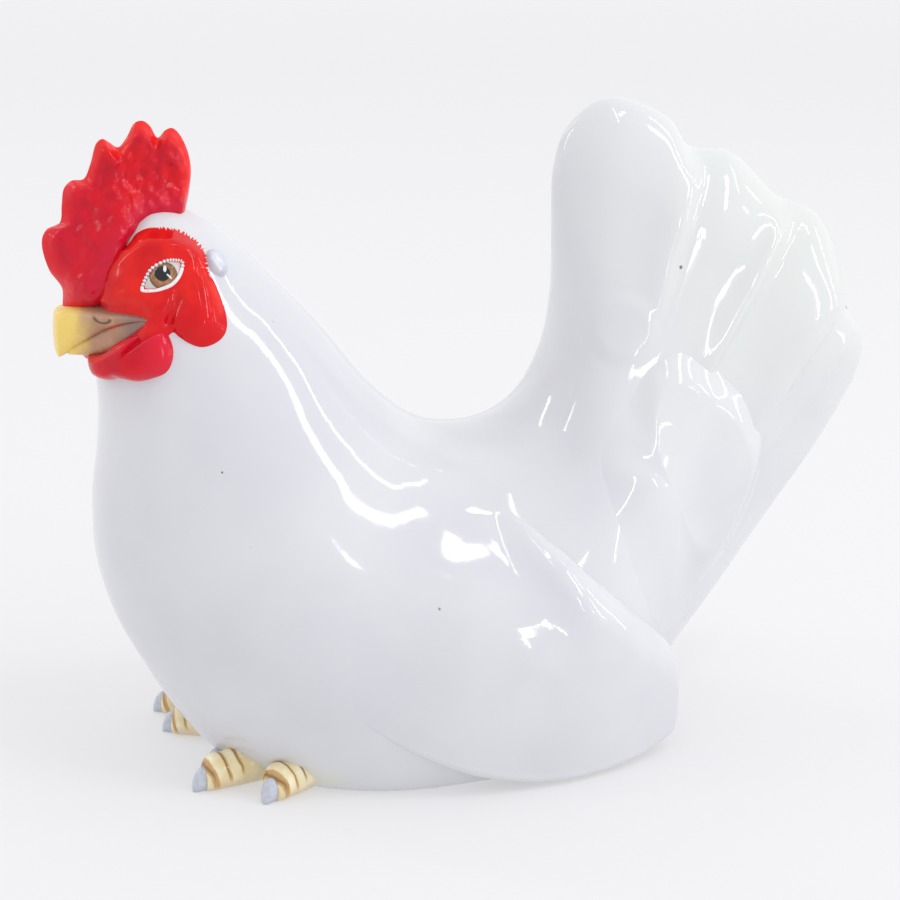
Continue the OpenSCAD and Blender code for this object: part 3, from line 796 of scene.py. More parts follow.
class HenColours(bpy.types.PropertyGroup):
    white: shade("White", "White glaze", 0.705, 0.715, 0.73)
    white_cool: shade("Cool white", "White glaze where it lies thick", 0.665, 0.665, 0.70)
    white_warm: shade("Warm white", "White glaze over the tail", 0.72, 0.745, 0.695)
    speck: shade("Speck", "Iron specks in the glaze", 0.10, 0.09, 0.085)
    comb: shade("Comb red", "Middle red of the comb", 0.70, 0.005, 0.013)
    comb_deep: shade("Comb crimson", "Deep red of the comb's hollows", 0.56, 0.004, 0.020)
    comb_light: shade("Comb scarlet", "Light red of the comb's rims", 0.86, 0.020, 0.016)
    comb_rose: shade("Comb rose", "Rose red at the comb's front and root", 0.62, 0.010, 0.040)
    wattle_rose: shade("Wattle rose", "Pink red at the wattles' thin edge", 0.74, 0.020, 0.050)
    comb_dark: shade("Comb fleck", "Dark flecks in the red", 0.30, 0.003, 0.010)
    face: shade("Face red", "Scarlet of the face", 0.80, 0.016, 0.010)
    face_deep: shade("Face crimson", "Deeper red washed under the scarlet", 0.62, 0.006, 0.010)
    beak: shade("Beak yellow", "Lemon yellow of the beak's tip", 0.90, 0.66, 0.16)
    horn: shade("Horn", "Brown of the beak's root", 0.40, 0.205, 0.11)
    horn_pink: shade("Horn pink", "Pinkish brown washed over the horn", 0.50, 0.285, 0.18)
    horn_dark: shade("Horn grey", "Greyish brown at the corner of the mouth", 0.24, 0.15, 0.13)
    line: shade("Line brown", "Brown of fine painted lines", 0.13, 0.055, 0.030)
    lobe: shade("Ear lobe", "Grey-blue of the ear lobe", 0.50, 0.54, 0.62)
    lobe_pale: shade("Pale ear lobe", "Paler grey-blue at the lobe's edge", 0.66, 0.68, 0.74)
    iris: shade("Iris", "Amber of the eye", 0.30, 0.13, 0.04)
    iris_light: shade("Light iris", "Light spokes of the iris", 0.46, 0.22, 0.08)
    pupil: shade("Pupil", "Black of the pupil", 0.008, 0.010, 0.013)
    eye_white: shade("Eye white", "White of the eye's corners", 0.62, 0.58, 0.55)
    eye_pink: shade("Eye pink", "Pink of the eye's rear corner", 0.66, 0.42, 0.36)
    glint: shade("Glint", "Strokes of light painted on the pupil", 0.78, 0.82, 0.84)
    rim: shade("Eye rim", "White of the eye's rim", 0.86, 0.84, 0.85)
    rim_shade: shade("Eye rim shade", "Grey between the rim's beads", 0.46, 0.36, 0.38)
    toe: shade("Toe yellow", "Straw yellow of the toes", 0.84, 0.70, 0.38)
    toe_light: shade("Pale toe yellow", "Pale yellow where the wash is thin", 0.92, 0.86, 0.62)
    toe_under: shade("Toe underside", "Pinkish brown under the toes", 0.60, 0.45, 0.33)
    toe_wash: shade("Toe wash", "Yellow wash that fades into the body", 0.76, 0.74, 0.52)
    ochre: shade("Ochre", "Ochre bands across the toes", 0.52, 0.27, 0.055)
    claw: shade("Claw", "Slate grey of the claws", 0.50, 0.53, 0.60)
    claw_light: shade("Pale claw", "Paler streaks on the claws", 0.60, 0.63, 0.69)
    claw_dark: shade("Dark claw", "Underside of the claws", 0.34, 0.36, 0.42)
    biscuit: shade("Biscuit", "Unglazed porcelain of the foot", 0.72, 0.66, 0.56)
    biscuit_dark: shade("Dark biscuit", "Ground and worn places of the foot", 0.58, 0.51, 0.42)


class HenStudio(bpy.types.PropertyGroup):
    lens: bpy.props.FloatProperty(name="Lens", description="Focal length of the camera in millimetres",
                                  default=90.0, min=35.0, max=200.0)
    room: bpy.props.FloatProperty(name="Room light", description="Brightness of the white cove",
                                  default=1.07, min=0.0, max=3.0)
    far_side: shade("Far side", "Colour of the cove behind the hen", 0.96, 0.965, 0.97)
    near_side: shade("Near side", "Colour of the cove on the camera's side", 0.76, 0.76, 0.80)
    floor: shade("Floor", "Glow of the cove's floor", 0.40, 0.40, 0.41)
    strips: bpy.props.FloatProperty(name="Strip lights", description="Brightness of the strip lights",
                                    default=1.0, min=0.0, max=10.0)
    cove_radius: bpy.props.FloatProperty(name="Cove radius",
                                         description="Radius of the white cove round the hen",
                                         default=1.7, min=1.0, max=5.0, unit="LENGTH", subtype="DISTANCE")


# ---------------------------------------------------------------- operators

class Maker:
    """What every operator of the hen shares."""

    bl_options = {"REGISTER", "UNDO"}

    def execute(self, context):
        scene = context.scene
        self.make(scene.hen_sizes, scene.hen_colours, scene.hen_studio)
        return {"FINISHED"}


class HEN_OT_castings(Maker, bpy.types.Operator):
    """Head, body and tail: three closed shells cut from one skin, so the glaze runs on over their joints"""
    bl_idname = "hen.castings"
    bl_label = "Castings"

    def make(self, sizes, colours, studio):
        columns = 320
        start = END_ROUND * (1 - np.cos(np.linspace(0, math.pi / 2, 22)))
        stop = 1 - END_ROUND * (1 - np.cos(np.linspace(math.pi / 2, 0, 34)))
        head = np.linspace(END_ROUND, HEAD_END, 56)[1:]
        body = np.linspace(HEAD_END, TAIL_START, 130)[1:]
        tail = np.linspace(TAIL_START, 1 - END_ROUND, 110)[1:-1]
        rows = np.concatenate([start, head, body, tail, stop])
        around = np.linspace(0, 2 * math.pi, columns, endpoint=False)
        points = glazed_skin(rows[:, None], around[None])
        normals = np.cross(np.gradient(points, axis=0), np.roll(points, -1, 1) - np.roll(points, 1, 1))
        mirrored = (-np.arange(columns)) % columns
        for end in (0, -1):
            normals[end] += normals[end][mirrored]
        normals /= np.maximum(np.linalg.norm(normals, axis=-1, keepdims=True), 1e-9)
        neck = len(start) + len(head) - 1
        rump = neck + len(body)
        spans = (("head", 0, neck), ("body", neck, rump), ("tail", rump, len(rows) - 1))
        for name, first, final in spans:
            part, facing = points[first:final + 1], normals[first:final + 1]
            count = part.shape[0] * columns
            faces = [tube_faces(part.shape[0], columns)]
            shell, shell_normals = [part.reshape(-1, 3)], [facing.reshape(-1, 3)]
            for cut, edge, outwards in ((first > 0, 0, -1), (final < len(rows) - 1, -1, 1)):
                if not cut:
                    continue
                ring = part[edge]
                ahead = (part[edge].mean(0) - part[edge - outwards].mean(0))
                ahead /= np.linalg.norm(ahead)
                inner = mix(ring.mean(0), ring, 0.985) - ahead * 0.05
                numbers = np.arange(columns)
                base = count if edge == 0 else count + sum(len(s) for s in shell[1:])
                rim = numbers if edge == 0 else numbers + count - columns
                collar = np.stack([rim, np.roll(rim, -1), np.roll(numbers, -1) + base, numbers + base], -1)
                lid = fan_faces(numbers + base, base + columns)
                if outwards < 0:
                    collar, lid = collar[:, ::-1], lid[:, ::-1]
                faces += [collar, lid]
                shell.append(np.concatenate([inner, [inner.mean(0)]]))
                shell_normals.append(np.tile(ahead, (columns + 1, 1)))
            finish = white_glaze(f"white glaze {name}", colours, toe_tint=name == "body")
            build(f"glazed_{name}", np.concatenate(shell), faces, finish, [name],
                  normals=np.concatenate(shell_normals))


class HEN_OT_wings(Maker, bpy.types.Operator):
    """Wings: a leaf on each side that rises out of the body at the shoulder and overhangs it at the tip"""
    bl_idname = "hen.wings"
    bl_label = "Wings"

    def make(self, sizes, colours, studio):
        points = self.leaf()
        finish = white_glaze("white glaze wings", colours)
        for name, side in SIDES:
            shape, faces = closed_tube(points * [1, side, 1])
            build(f"{name}_glazed_wing", shape, faces, finish, [f"{name}_wing"])

    @staticmethod
    def leaf():
        """Rings from shoulder to tip. The outer side runs from the top edge, where it is level with the body,
        to the full stand-out; the lower edge is a half circle; the inner side goes back up inside the body."""
        stations = (1 - np.cos(np.linspace(0, math.pi, 150))) / 2
        x, top, bottom = curve(WING_OUTLINE, stations).T
        ends = rounded(stations / 0.05) * rounded((1 - stations) / 0.09)
        middle, half = (top + bottom) / 2, (top - bottom) / 2 * ends
        top, bottom = middle + half, middle - half
        edge = np.minimum(WING_EDGE_ROUND, half * 0.6)[:, None]
        x = x[:, None]

        down = (1 - np.cos(np.linspace(0, math.pi / 2, 90)))[None]
        z = mix(top[:, None], bottom[:, None] + edge, down)
        wide_x = np.broadcast_to(x, z.shape)
        face = along_x(WING_FACE, wide_x) * np.sqrt(1 - ((z - WING_WIDEST_Z) / WING_ARCH) ** 2)
        body = skin_side(wide_x, z)
        rear = smooth((wide_x + 4) / 18)
        from_top, from_bottom = top[:, None] - z, z - bottom[:, None]
        fade = mix(smooth(from_top / 26), rounded(from_top / 8), rear)
        fade = fade * smooth((wide_x + 47) / 30)
        low_fade = mix(smooth((from_bottom + 1.5) / 9), 1.0, smooth((wide_x + 32) / 22))
        fade = fade * low_fade
        edge_y = np.maximum(body - 0.12, face - mix(18, 5.5, rear))
        outer = mix(edge_y, np.maximum(face, edge_y), fade)

        turn = np.linspace(0, math.pi, 16)[None, 1:-1]
        low_y, low_z = outer[:, -1:] - edge, bottom[:, None] + edge
        round_y, round_z = low_y + edge * np.cos(turn), low_z - edge * np.sin(turn)
        up = np.linspace(0, 1, 24)[None]
        inner_z = mix(low_z, top[:, None] - 0.4 * ends[:, None], up)
        inner_y = mix(outer[:, -1:] - 2 * edge, edge_y[:, :1] - 2.5 * ends[:, None], smooth(up))
        y = np.concatenate([outer, round_y, inner_y], 1)
        core = (outer.max(1) + inner_y.min(1))[:, None] / 2
        y = mix(core, y, rounded((1 - stations) / 0.09)[:, None])
        z = np.concatenate([z, round_z, inner_z], 1)
        return np.stack([np.broadcast_to(x, y.shape), y, z], -1)


class HEN_OT_coverts(Maker, bpy.types.Operator):
    """Feather cushions over the tail's root, steep at the back and lost in the body at the front"""
    bl_idname = "hen.coverts"
    bl_label = "Tail cushions"

    def make(self, sizes, colours, studio):
        rise = sizes.covert_rise / MM

        def heights(share, u, t, outline):
            reach = mix(0.30, 0.95, smooth((0.83 - outline[..., 0]) / 0.12))
            return (rise + 0.4) * smooth((1 - share) / reach) - 0.4

        finish = white_glaze("white glaze tail cushions", colours)
        for name, side in SIDES:
            points, faces, _ = cushion(COVERT_LINE, COVERT_MIDDLE, heights, 4, side, rings=90, columns=300)
            build(f"{name}_glazed_tail_cushion", points, faces, finish,
                  [f"{name}_tail_covert"])


class HEN_OT_comb(Maker, bpy.types.Operator):
    """Comb: a plate with five rounded points, thick at its rim, hollowed inside it and flared at its root"""
    bl_idname = "hen.comb"
    bl_label = "Comb"

    def make(self, sizes, colours, studio):
        rings, columns = 60, 420
        turn = np.linspace(0, math.pi / 2, rings)[:, None]
        share = np.sin(np.maximum(turn, 0.02))
        outline = closed_curve(COMB_LINE, np.arange(columns) / columns)
        place = mix(np.array(COMB_MIDDLE), outline[None], share[..., None])
        half = sizes.comb_thickness / MM / 2
        profile = np.cos(turn) ** 0.62 * (0.80 + 0.26 * np.exp(-((share - 0.86) / 0.12) ** 2))
        skull = skin_place(np.linspace(0, 0.24, 60), np.zeros(60))[0]
        root = np.sqrt(((place[:, :, None] - skull[None, None]) ** 2).sum(-1)).min(-1)
        front = smooth((-64 - place[..., 0]) / 7)
        flare = sizes.comb_flare / MM * mix(1, 2.6, front) * (1 - smooth(root / mix(6.5, 11.0, front))) ** 1.4
        flat = np.concatenate([place, np.zeros(place.shape[:2] + (1,))], -1)[..., [0, 2, 1]]
        bumps = (0.30 * lumps(flat, 3.0, 3) + 0.12 * lumps(flat, 1.5, 5)) * smooth((1 - share) / 0.25)
        for tip in COMB_TIPS:
            reach = np.subtract(COMB_MIDDLE, tip)
            along = np.clip((place - tip) @ reach / (reach @ reach), 0, 1)
            aside = np.linalg.norm(place - tip - along[..., None] * reach, axis=-1)
            ridge = np.exp(-(aside / 1.5) ** 2) * smooth((0.62 - along) / 0.5) * smooth((1 - share) / 0.12)
            bumps += 0.9 * ridge
        away = (half * profile * np.ones((1, columns)) + flare + bumps) * np.sqrt(np.clip(1 - share**14, 0, 1))
        right = flat + away[..., None] * [0, 1, 0]
        left = flat - away[..., None] * [0, 1, 0]
        left[:, :, 1] -= 0.1 * lumps(flat, 4.1, 8) * smooth((1 - share) / 0.25)
        count = rings * columns
        poles = np.array([right[0].mean(0), left[0].mean(0)])
        points = np.concatenate([right.reshape(-1, 3), left.reshape(-1, 3), poles])
        faces = [tube_faces(rings, columns), tube_faces(rings, columns, count)[:, ::-1],
                 fan_faces(np.arange(columns)[::-1], 2 * count),
                 fan_faces(np.arange(columns) + count, 2 * count + 1)]
        mark = np.tile((share * np.ones((1, columns))).ravel(), 2)
        near_root = np.tile((1 - smooth((root - 0.5) / 3.0)).ravel(), 2)
        marks = {"out": np.append(mark, [0, 0]), "root": np.append(near_root, [0, 0])}
        build("glazed_comb", points, faces, comb_glaze(colours), ["comb"], marks=marks)


class HEN_OT_beak(Maker, bpy.types.Operator):
    """Beak: two halves lofted from the face to the tip, the upper one hooked over the lower"""
    bl_idname = "hen.beak"
    bl_label = "Beak"

    def make(self, sizes, colours, studio):
        for name, upper, slot in (("upper", True, "beak_yellow"), ("lower", False, "beak_horn")):
            points, marks = self.half(upper)
            shape, faces = closed_tube(points)
            marks = {"lip": np.append(marks.ravel(), [0, 0])}
            build(f"painted_{name}_beak", shape, faces, beak_glaze(f"{name} beak paint", colours, upper),
                  [f"{name}_beak"], marks=marks)

    @staticmethod
    def half(upper):
        """Rings of an oval between the mouth line and the ridge, narrower towards the ridge, that close
        in a rounded tip."""
        stations = np.linspace(0, 1, 90)
        x, top, mouth, bottom, width = curve(BEAK_SECTIONS, stations).T[:, :, None]
        high, low = (top, mouth - 0.4) if upper else (mouth + 1.8, bottom)
        turn = np.linspace(0, 2 * math.pi, 96, endpoint=False)[None]
        x = x + (0 if upper else BEAK_OVERHANG) * stations[:, None] ** 3
        end = rounded((1 - stations) / 0.07)[:, None]
        side = np.sign(np.cos(turn)) * np.abs(np.cos(turn)) ** 0.6
        rise = np.sign(np.sin(turn)) * np.abs(np.sin(turn)) ** 0.75
        width = width + (0.7 if upper else 0.45)
        z = (low + high) / 2 + (high - low) / 2 * rise * end
        points = np.stack(np.broadcast_arrays(x, width * side * end, z), -1)
        lip = -np.sin(turn) if upper else np.sin(turn)
        return points, np.broadcast_to(lip, z.shape)


class HEN_OT_faces(Maker, bpy.types.Operator):
    """Red faces: low cushions with a brow, a hollow below the eye and a hanging lobe"""
    bl_idname = "hen.faces"
    bl_label = "Faces"

    def make(self, sizes, colours, studio):
        rise = sizes.face_rise / MM

        def heights(share, u, t, outline):
            low = smooth((t - 0.16) / 0.12) * smooth((u - 0.15) / 0.05)
            edge = mix(smooth((1 - share) / 0.45), rounded((1 - share) / 0.34), low)
            height = (rise + 0.35) * edge - 0.35
            brow = np.exp(-((t - 0.150 - (u - 0.16) * -0.5) / 0.030) ** 2) * np.exp(-((u - 0.155) / 0.035) ** 2)
            socket = np.exp(-((u - 0.157) / 0.022) ** 2 - ((t - 0.245) / 0.050) ** 2)
            lobe = np.exp(-((u - 0.218) / 0.020) ** 2 - ((t - 0.300) / 0.085) ** 2)
            crease = np.exp(-((u - 0.184) / 0.007) ** 2) * smooth((t - 0.25) / 0.05) * smooth((0.43 - t) / 0.04)
            cheek = np.exp(-((u - 0.135) / 0.03) ** 2 - ((t - 0.39) / 0.05) ** 2)
            beak = smooth((t - 0.36) / 0.07) * smooth((0.170 - u) / 0.03)
            relief = 0.9 * brow - 0.5 * socket + 1.1 * lobe - 0.9 * crease + 0.4 * cheek
            return (height + relief * smooth((1 - share) / 0.2)) * (1 - 0.85 * beak)

        finish = face_glaze(colours)
        for name, side in SIDES:
            points, faces, marks = cushion(FACE_LINE, FACE_MIDDLE, heights, 2, side, rings=110, columns=420,
                                           edge=0.8)
            share, place = marks["out"], marks["turn"] * len(FACE_LINE)
            marks["back"] = smooth((place - 1.5) / 2) * smooth((8.0 - place) / 2)
            marks["low"] = smooth((share - 0.45) / 0.4) * smooth((place - 9) / 2)
            build(f"{name}_glazed_face", points, faces, finish, [f"{name}_face"], marks=marks)


class HEN_OT_ear_lobes(Maker, bpy.types.Operator):
    """Ear lobes: small domed discs of enamel at the back of the face"""
    bl_idname = "hen.ear_lobes"
    bl_label = "Ear lobes"

    def make(self, sizes, colours, studio):
        turn = np.linspace(0, 2 * math.pi, 24, endpoint=False)
        line = np.array(LOBE_AT) + np.stack([LOBE_RADII[0] * np.cos(turn), LOBE_RADII[1] * np.sin(turn)], -1)
        rise = (sizes.face_rise / 2 + sizes.lobe_rise) / MM

        def heights(share, u, t, outline):
            return (rise + 0.6) * rounded((1 - share) / 0.5) - 0.6

        finish = lobe_glaze(colours)
        for name, side in SIDES:
            points, faces, marks = cushion(line, LOBE_AT, heights, 2, side, rings=30, columns=96)
            build(f"{name}_enamel_ear_lobe", points, faces, finish, [f"{name}_ear_lobe"],
                  marks=marks)


class HEN_OT_wattles(Maker, bpy.types.Operator):
    """Wattles: plump folds that run from the corner of the beak under the throat"""
    bl_idname = "hen.wattles"
    bl_label = "Wattles"

    def make(self, sizes, colours, studio):
        rise = sizes.wattle_rise / MM

        def heights(share, u, t, outline):
            fold = 0.08 * np.sin(t * 34) * smooth((1 - share) / 0.3)
            joined = smooth((0.54 - outline[..., 1]) / 0.06) * smooth((0.185 - outline[..., 0]) / 0.03)
            edge = mix(rounded((1 - share) / 0.62), smooth((1 - share) / 0.95), joined)
            return (rise + 0.8) * edge - 0.8 + fold

        finish = wattle_glaze(colours)
        for name, side in SIDES:
            points, faces, marks = cushion(WATTLE_LINE, WATTLE_MIDDLE, heights, 2, side, rings=60, columns=260)
            build(f"{name}_glazed_wattle", points, faces, finish, [f"{name}_wattle"],
                  marks=marks)


def eye_plane(rise):
    """Origin and directions of the eye on the right side: towards the tail, up, out."""
    u, around = np.array(EYE_AT[0]), around_of(EYE_AT[1])
    out = out_of_skin(u, around)
    back = np.cross([0, 0, 1.0], out)
    back *= np.sign(back[0]) / np.linalg.norm(back)
    up = np.cross(out, back)
    up *= np.sign(up[2])
    return skin(u, around) + out * rise, np.stack([back, up, out])


def on_eye(flat, height, rise):
    """Points at flat places of the eye's plane, raised from a gentle dome that follows the cheek."""
    origin, directions = eye_plane(rise)
    dome = -((flat**2).sum(-1)) / 44
    return origin + np.concatenate([flat, (dome + height)[..., None]], -1) @ directions


class HEN_OT_eyes(Maker, bpy.types.Operator):
    """Eyes: domed almonds of enamel, each painted with its iris, pupil and strokes of light"""
    bl_idname = "hen.eyes"
    bl_label = "Eyes"

    def make(self, sizes, colours, studio):
        rings, columns = 50, 160
        share = np.sin(np.linspace(0.02, 1, rings) * math.pi / 2)[:, None]
        outline = closed_curve(EYE_LINE, np.arange(columns) / columns)
        flat = mix(np.array(EYE_MIDDLE), outline[None], share[..., None])
        height = (sizes.eye_bulge / MM + 0.6) * np.sqrt(1 - share**2.4) - 0.6
        rise = sizes.face_rise / MM - 0.25
        ball = on_eye(flat, height * np.ones((1, columns)), rise).reshape(-1, 3)
        ends = np.array([EYE_MIDDLE, EYE_MIDDLE])
        poles = on_eye(ends, np.array([height[0, 0], -2.0]), rise)
        faces = capped_faces(rings, columns)
        places = np.concatenate([flat.reshape(-1, 2), ends])
        marks = {"across": places[:, 0], "up": places[:, 1],
                 "out": np.append((share * np.ones((1, columns))).ravel(), [0, 1])}
        finish = eye_glaze(colours)
        for name, side in SIDES:
            points = np.concatenate([ball, poles]) * [1, side, 1]
            build(f"{name}_enamel_eye", points, faces, finish, [f"{name}_eye"], marks=marks)


class HEN_OT_eye_rims(Maker, bpy.types.Operator):
    """Eye rims: a thin line of white enamel laid round each eye in beads"""
    bl_idname = "hen.eye_rims"
    bl_label = "Eye rims"

    def make(self, sizes, colours, studio):
        stations, columns, beads = 520, 14, 34
        way = np.arange(stations) / stations
        line = closed_curve(EYE_LINE, way)
        ahead = closed_curve(EYE_LINE, (way + 0.002) % 1) - closed_curve(EYE_LINE, (way - 0.002) % 1)
        ahead /= np.linalg.norm(ahead, axis=-1, keepdims=True)
        aside = np.stack([ahead[:, 1], -ahead[:, 0]], -1)
        beaded = smooth((way - 0.42) / 0.06) * smooth((1.0 - way) / 0.06)
        bead = 0.5 + 0.5 * np.cos(way * beads * 2 * math.pi)
        radius = sizes.rim_thickness / MM / 2 * (1 - beaded * 0.45 * (1 - bead))
        turn = np.linspace(0, 2 * math.pi, columns, endpoint=False)[None]
        flat = line[:, None] + aside[:, None] * (radius[:, None] * np.cos(turn))[..., None]
        rise = sizes.face_rise / MM - 0.1
        points = on_eye(flat, radius[:, None] * np.sin(turn) * 0.9, rise)
        points = np.concatenate([points, points[:1]])
        faces = [tube_faces(stations + 1, columns)]
        mark = np.repeat(1 - beaded * (1 - bead), columns)
        marks = {"bead": np.append(mark, mark[:columns])}
        finish = rim_glaze(colours)
        for name, side in SIDES:
            build(f"{name}_enamel_eye_rim", points * [1, side, 1], faces, finish,
                  [f"{name}_eye_rim"], marks=marks)


def limb(start, stop, shares, radii, wide=1.0, stations=70, columns=40):
    """A low tube on the ground from start to stop, round in section and flat where it rests. The radius follows
    a smooth line through radii at shares of the way."""
    start, stop = np.array(start, float), np.array(stop, float)
    table = np.stack([shares, radii], -1)
    way = curve(table, (1 - np.cos(np.linspace(0, math.pi, stations))) / 2)
    along, radius = way[:, 0], np.maximum(way[:, 1], 0.02)
    ahead = (stop - start) / np.linalg.norm(stop - start)
    aside = np.array([-ahead[1], ahead[0]])
    turn = np.linspace(0, 2 * math.pi, columns, endpoint=False)[None]
    middle = start + np.outer(along, stop - start)
    flat = middle[:, None] + aside * (wide * radius[:, None] * np.cos(turn))[..., None]
    high = radius[:, None] * (0.92 + np.sin(turn))
    high = 0.25 * np.logaddexp(0, high / 0.25) - 0.25 * math.log(2) * np.exp(-np.maximum(high, 0) * 2)
    points = np.concatenate([flat, np.maximum(high, 0.02)[..., None]], -1)
    over = np.broadcast_to((1 + np.sin(turn)) / 2, high.shape)
    marks = {"along": np.repeat(along, columns), "over": over.ravel()}
    return points, {name: np.append(values, [values[0], values[-1]]) for name, values in marks.items()}


class HEN_OT_toes(Maker, bpy.types.Operator):
    """Toes: three on each foot, with soft knuckles, thicker towards the body"""
    bl_idname = "hen.toes"
    bl_label = "Toes"

    def make(self, sizes, colours, studio):
        thick = sizes.toe_thickness / MM / 2
        shares = np.array([0.0, 0.18, 0.34, 0.48, 0.6, 0.72, 0.84, 0.93, 1.0])
        radii = np.array([1.22, 1.22, 1.20, 1.14, 1.18, 1.08, 1.10, 1.00, 0.70]) * thick
        finish = toe_glaze(colours)
        for name, _ in SIDES:
            for toe, (root, knuckle, tip) in zip(TOE_NAMES, TOES[name]):
                points, marks = limb(root, mix(np.array(knuckle), np.array(tip), 0.44), shares, radii)
                shape, faces = closed_tube(points)
                build(f"{name}_painted_{toe}_toe", shape, faces, finish, [f"{name}_{toe}_toe"],
                      marks=marks)


class HEN_OT_claws(Maker, bpy.types.Operator):
    """Claws: a blunt, rounded claw at the end of each toe"""
    bl_idname = "hen.claws"
    bl_label = "Claws"

    def make(self, sizes, colours, studio):
        thick = sizes.toe_thickness / MM / 2
        reach = sizes.claw_length / MM
        shares = np.array([0.0, 0.2, 0.45, 0.62, 0.76, 0.88, 0.96, 1.0])
        radii = np.array([0.62, 0.70, 0.73, 0.69, 0.60, 0.45, 0.27, 0.06]) * thick
        finish = claw_glaze(colours)
        for name, _ in SIDES:
            shapes, faces, marks, count = [], [], {"along": [], "over": []}, 0
            for _, knuckle, tip in TOES[name]:
                ahead = np.subtract(tip, knuckle) / np.linalg.norm(np.subtract(tip, knuckle))
                points, own = limb(knuckle, knuckle + ahead * reach, shares, radii, 0.72, 46, 36)
                shape, own_faces = closed_tube(points)
                shapes.append(shape)
                faces += [part + count for part in own_faces]
                count += len(shape)
                for mark in marks:
                    marks[mark].append(own[mark])
            joined = {mark: np.concatenate(values) for mark, values in marks.items()}
            build(f"{name}_painted_claws", np.concatenate(shapes), faces, finish,
                  [f"{name}_claws"], marks=joined)


class HEN_OT_foot(Maker, bpy.types.Operator):
    """Foot slab: the CAD's own slab in unglazed biscuit"""
    bl_idname = "hen.foot"
    bl_label = "Foot slab"

    def make(self, sizes, colours, studio):
        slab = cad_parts["foot_slab"]
        slab.data.materials.clear()
        slab.data.materials.append(biscuit(colours))


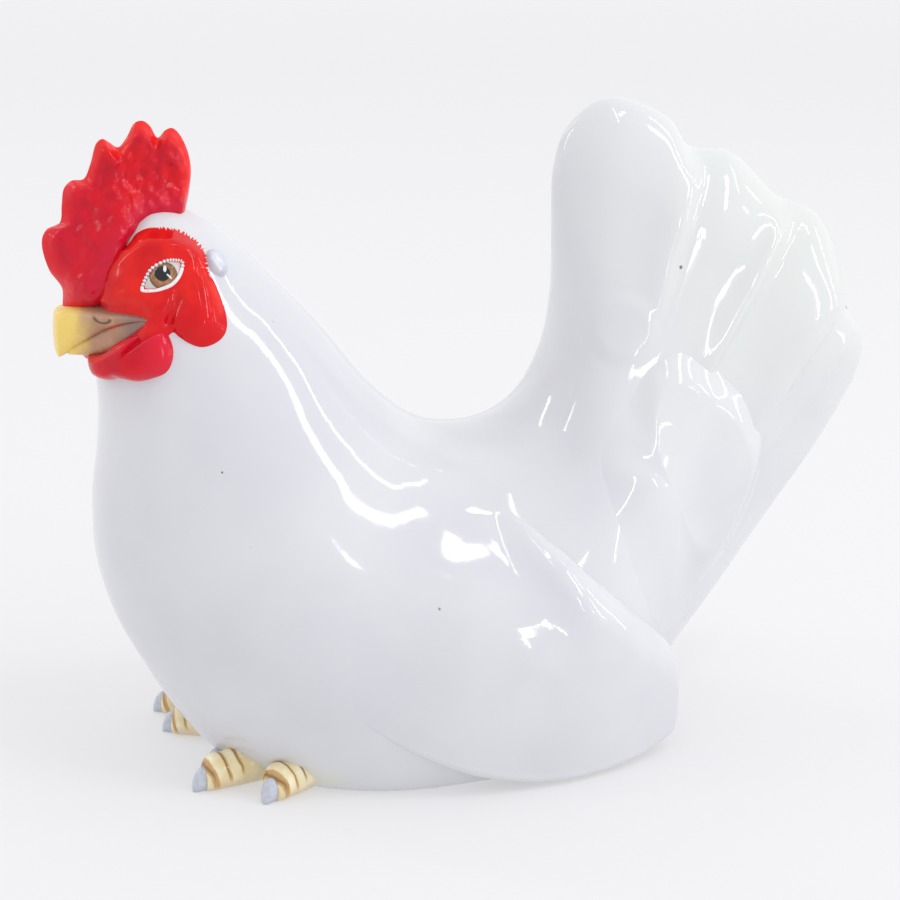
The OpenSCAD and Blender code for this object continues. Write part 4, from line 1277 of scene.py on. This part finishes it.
class HEN_OT_stage(Maker, bpy.types.Operator):
    """Studio: a seamless white cove, strip lights and the camera"""
    bl_idname = "hen.stage"
    bl_label = "Studio"

    def make(self, sizes, colours, studio):
        self.cove(studio)
        self.lights(studio)
        self.camera(studio)
        bpy.context.scene.view_settings.view_transform = "Standard"

    @staticmethod
    def cove(studio):
        """A round floor that turns up into a dome, as a profile turned once round."""
        radius = studio.cove_radius
        floor = np.stack([np.linspace(0.02, radius * 0.7, 20), np.zeros(20)], -1)
        bend = np.linspace(-math.pi / 2, 0, 24)[1:]
        corner = np.stack([radius * 0.7 + radius * 0.3 * np.cos(bend), radius * 0.3 * (1 + np.sin(bend))], -1)
        dome = np.linspace(0, math.pi / 2 * 0.98, 30)[1:]
        top = np.stack([radius * np.cos(dome), radius * 0.3 + radius * np.sin(dome)], -1)
        profile = np.concatenate([floor, corner, top])
        turn = np.linspace(0, 2 * math.pi, 96, endpoint=False)
        points = np.stack([profile[:, :1] * np.cos(turn), profile[:, :1] * np.sin(turn),
                           profile[:, 1:] * np.ones((1, 96))], -1)
        points, faces = closed_tube(points)
        mesh = bpy.data.meshes.new("cove")
        mesh.from_pydata(points.tolist(), [], [face for part in faces for face in part.tolist()])
        mesh.polygons.foreach_set("use_smooth", np.ones(len(mesh.polygons), bool))
        made = bpy.data.objects.new("cove", mesh)
        bpy.context.scene.collection.objects.link(made)
        cove = Finish("white cove", 0.9, 0.0)
        _, y, z = cove.axes()
        cove.put(cove.shader.inputs["Base Color"], cove.paint(z.step(100, 400), (0.42,) * 3, (0.0,) * 3))
        side = cove.paint((y * -1).step(-900, 700), studio.far_side, studio.near_side)
        cove.put(cove.shader.inputs["Emission Color"], cove.paint(z.step(0, 400), studio.floor, side))
        cove.put(cove.shader.inputs["Emission Strength"], studio.room)
        mesh.materials.append(cove.material)

    @staticmethod
    def lights(studio):
        """Strip lights on a sphere round the hen, each turned about its own direction by its roll."""
        for name, turn, height, distance, long, short, roll, power in STRIP_LIGHTS:
            back = seen_from(turn, height)
            data = bpy.data.lights.new(name, "AREA")
            data.shape = "RECTANGLE"
            data.size, data.size_y = long, short
            data.energy = power * studio.strips
            light = bpy.data.objects.new(name, data)
            facing = back.to_track_quat("Z", "Y")
            light.rotation_mode = "QUATERNION"
            light.rotation_quaternion = facing @ Quaternion((0, 0, 1), math.radians(roll))
            light.location = back * distance + Vector((0, 0, 0.06))
            bpy.context.scene.collection.objects.link(light)

    @staticmethod
    def camera(studio):
        data = bpy.data.cameras.new("camera")
        data.lens = studio.lens
        data.sensor_width = 36
        made = bpy.data.objects.new("camera", data)
        back = seen_from(CAMERA_TURN, CAMERA_HEIGHT)
        made.location = (Vector(CAMERA_TARGET) + back * CAMERA_DISTANCE) * MM
        made.rotation_mode = "QUATERNION"
        made.rotation_quaternion = (-back).to_track_quat("-Z", "Y")
        bpy.context.scene.collection.objects.link(made)
        bpy.context.scene.camera = made


class HEN_PT_panel(bpy.types.Panel):
    """Panel that lists every piece of the hen"""
    bl_idname = "HEN_PT_panel"
    bl_label = "Porcelain Hen"
    bl_space_type = "VIEW_3D"
    bl_region_type = "UI"
    bl_category = "Porcelain Hen"

    def draw(self, context):
        for operator in OPERATORS:
            self.layout.operator(operator.bl_idname)
        for group in (context.scene.hen_sizes, context.scene.hen_colours, context.scene.hen_studio):
            for name in group.__annotations__:
                self.layout.prop(group, name)


OPERATORS = (HEN_OT_castings, HEN_OT_wings, HEN_OT_coverts, HEN_OT_comb, HEN_OT_beak, HEN_OT_faces,
             HEN_OT_ear_lobes, HEN_OT_wattles, HEN_OT_eyes, HEN_OT_eye_rims, HEN_OT_toes, HEN_OT_claws,
             HEN_OT_foot, HEN_OT_stage)
GROUPS = {"hen_sizes": HenSizes, "hen_colours": HenColours, "hen_studio": HenStudio}


def register():
    for group in (*GROUPS.values(), *OPERATORS, HEN_PT_panel):
        bpy.utils.register_class(group)
    for name, group in GROUPS.items():
        setattr(bpy.types.Scene, name, bpy.props.PointerProperty(type=group))


def unregister():
    for name in GROUPS:
        delattr(bpy.types.Scene, name)
    for group in (HEN_PT_panel, *OPERATORS[::-1], *GROUPS.values()):
        bpy.utils.unregister_class(group)


def main():
    register()
    for operator in OPERATORS:
        getattr(bpy.ops.hen, operator.bl_idname.split(".")[1])()


if __name__ == "__main__":
    main()
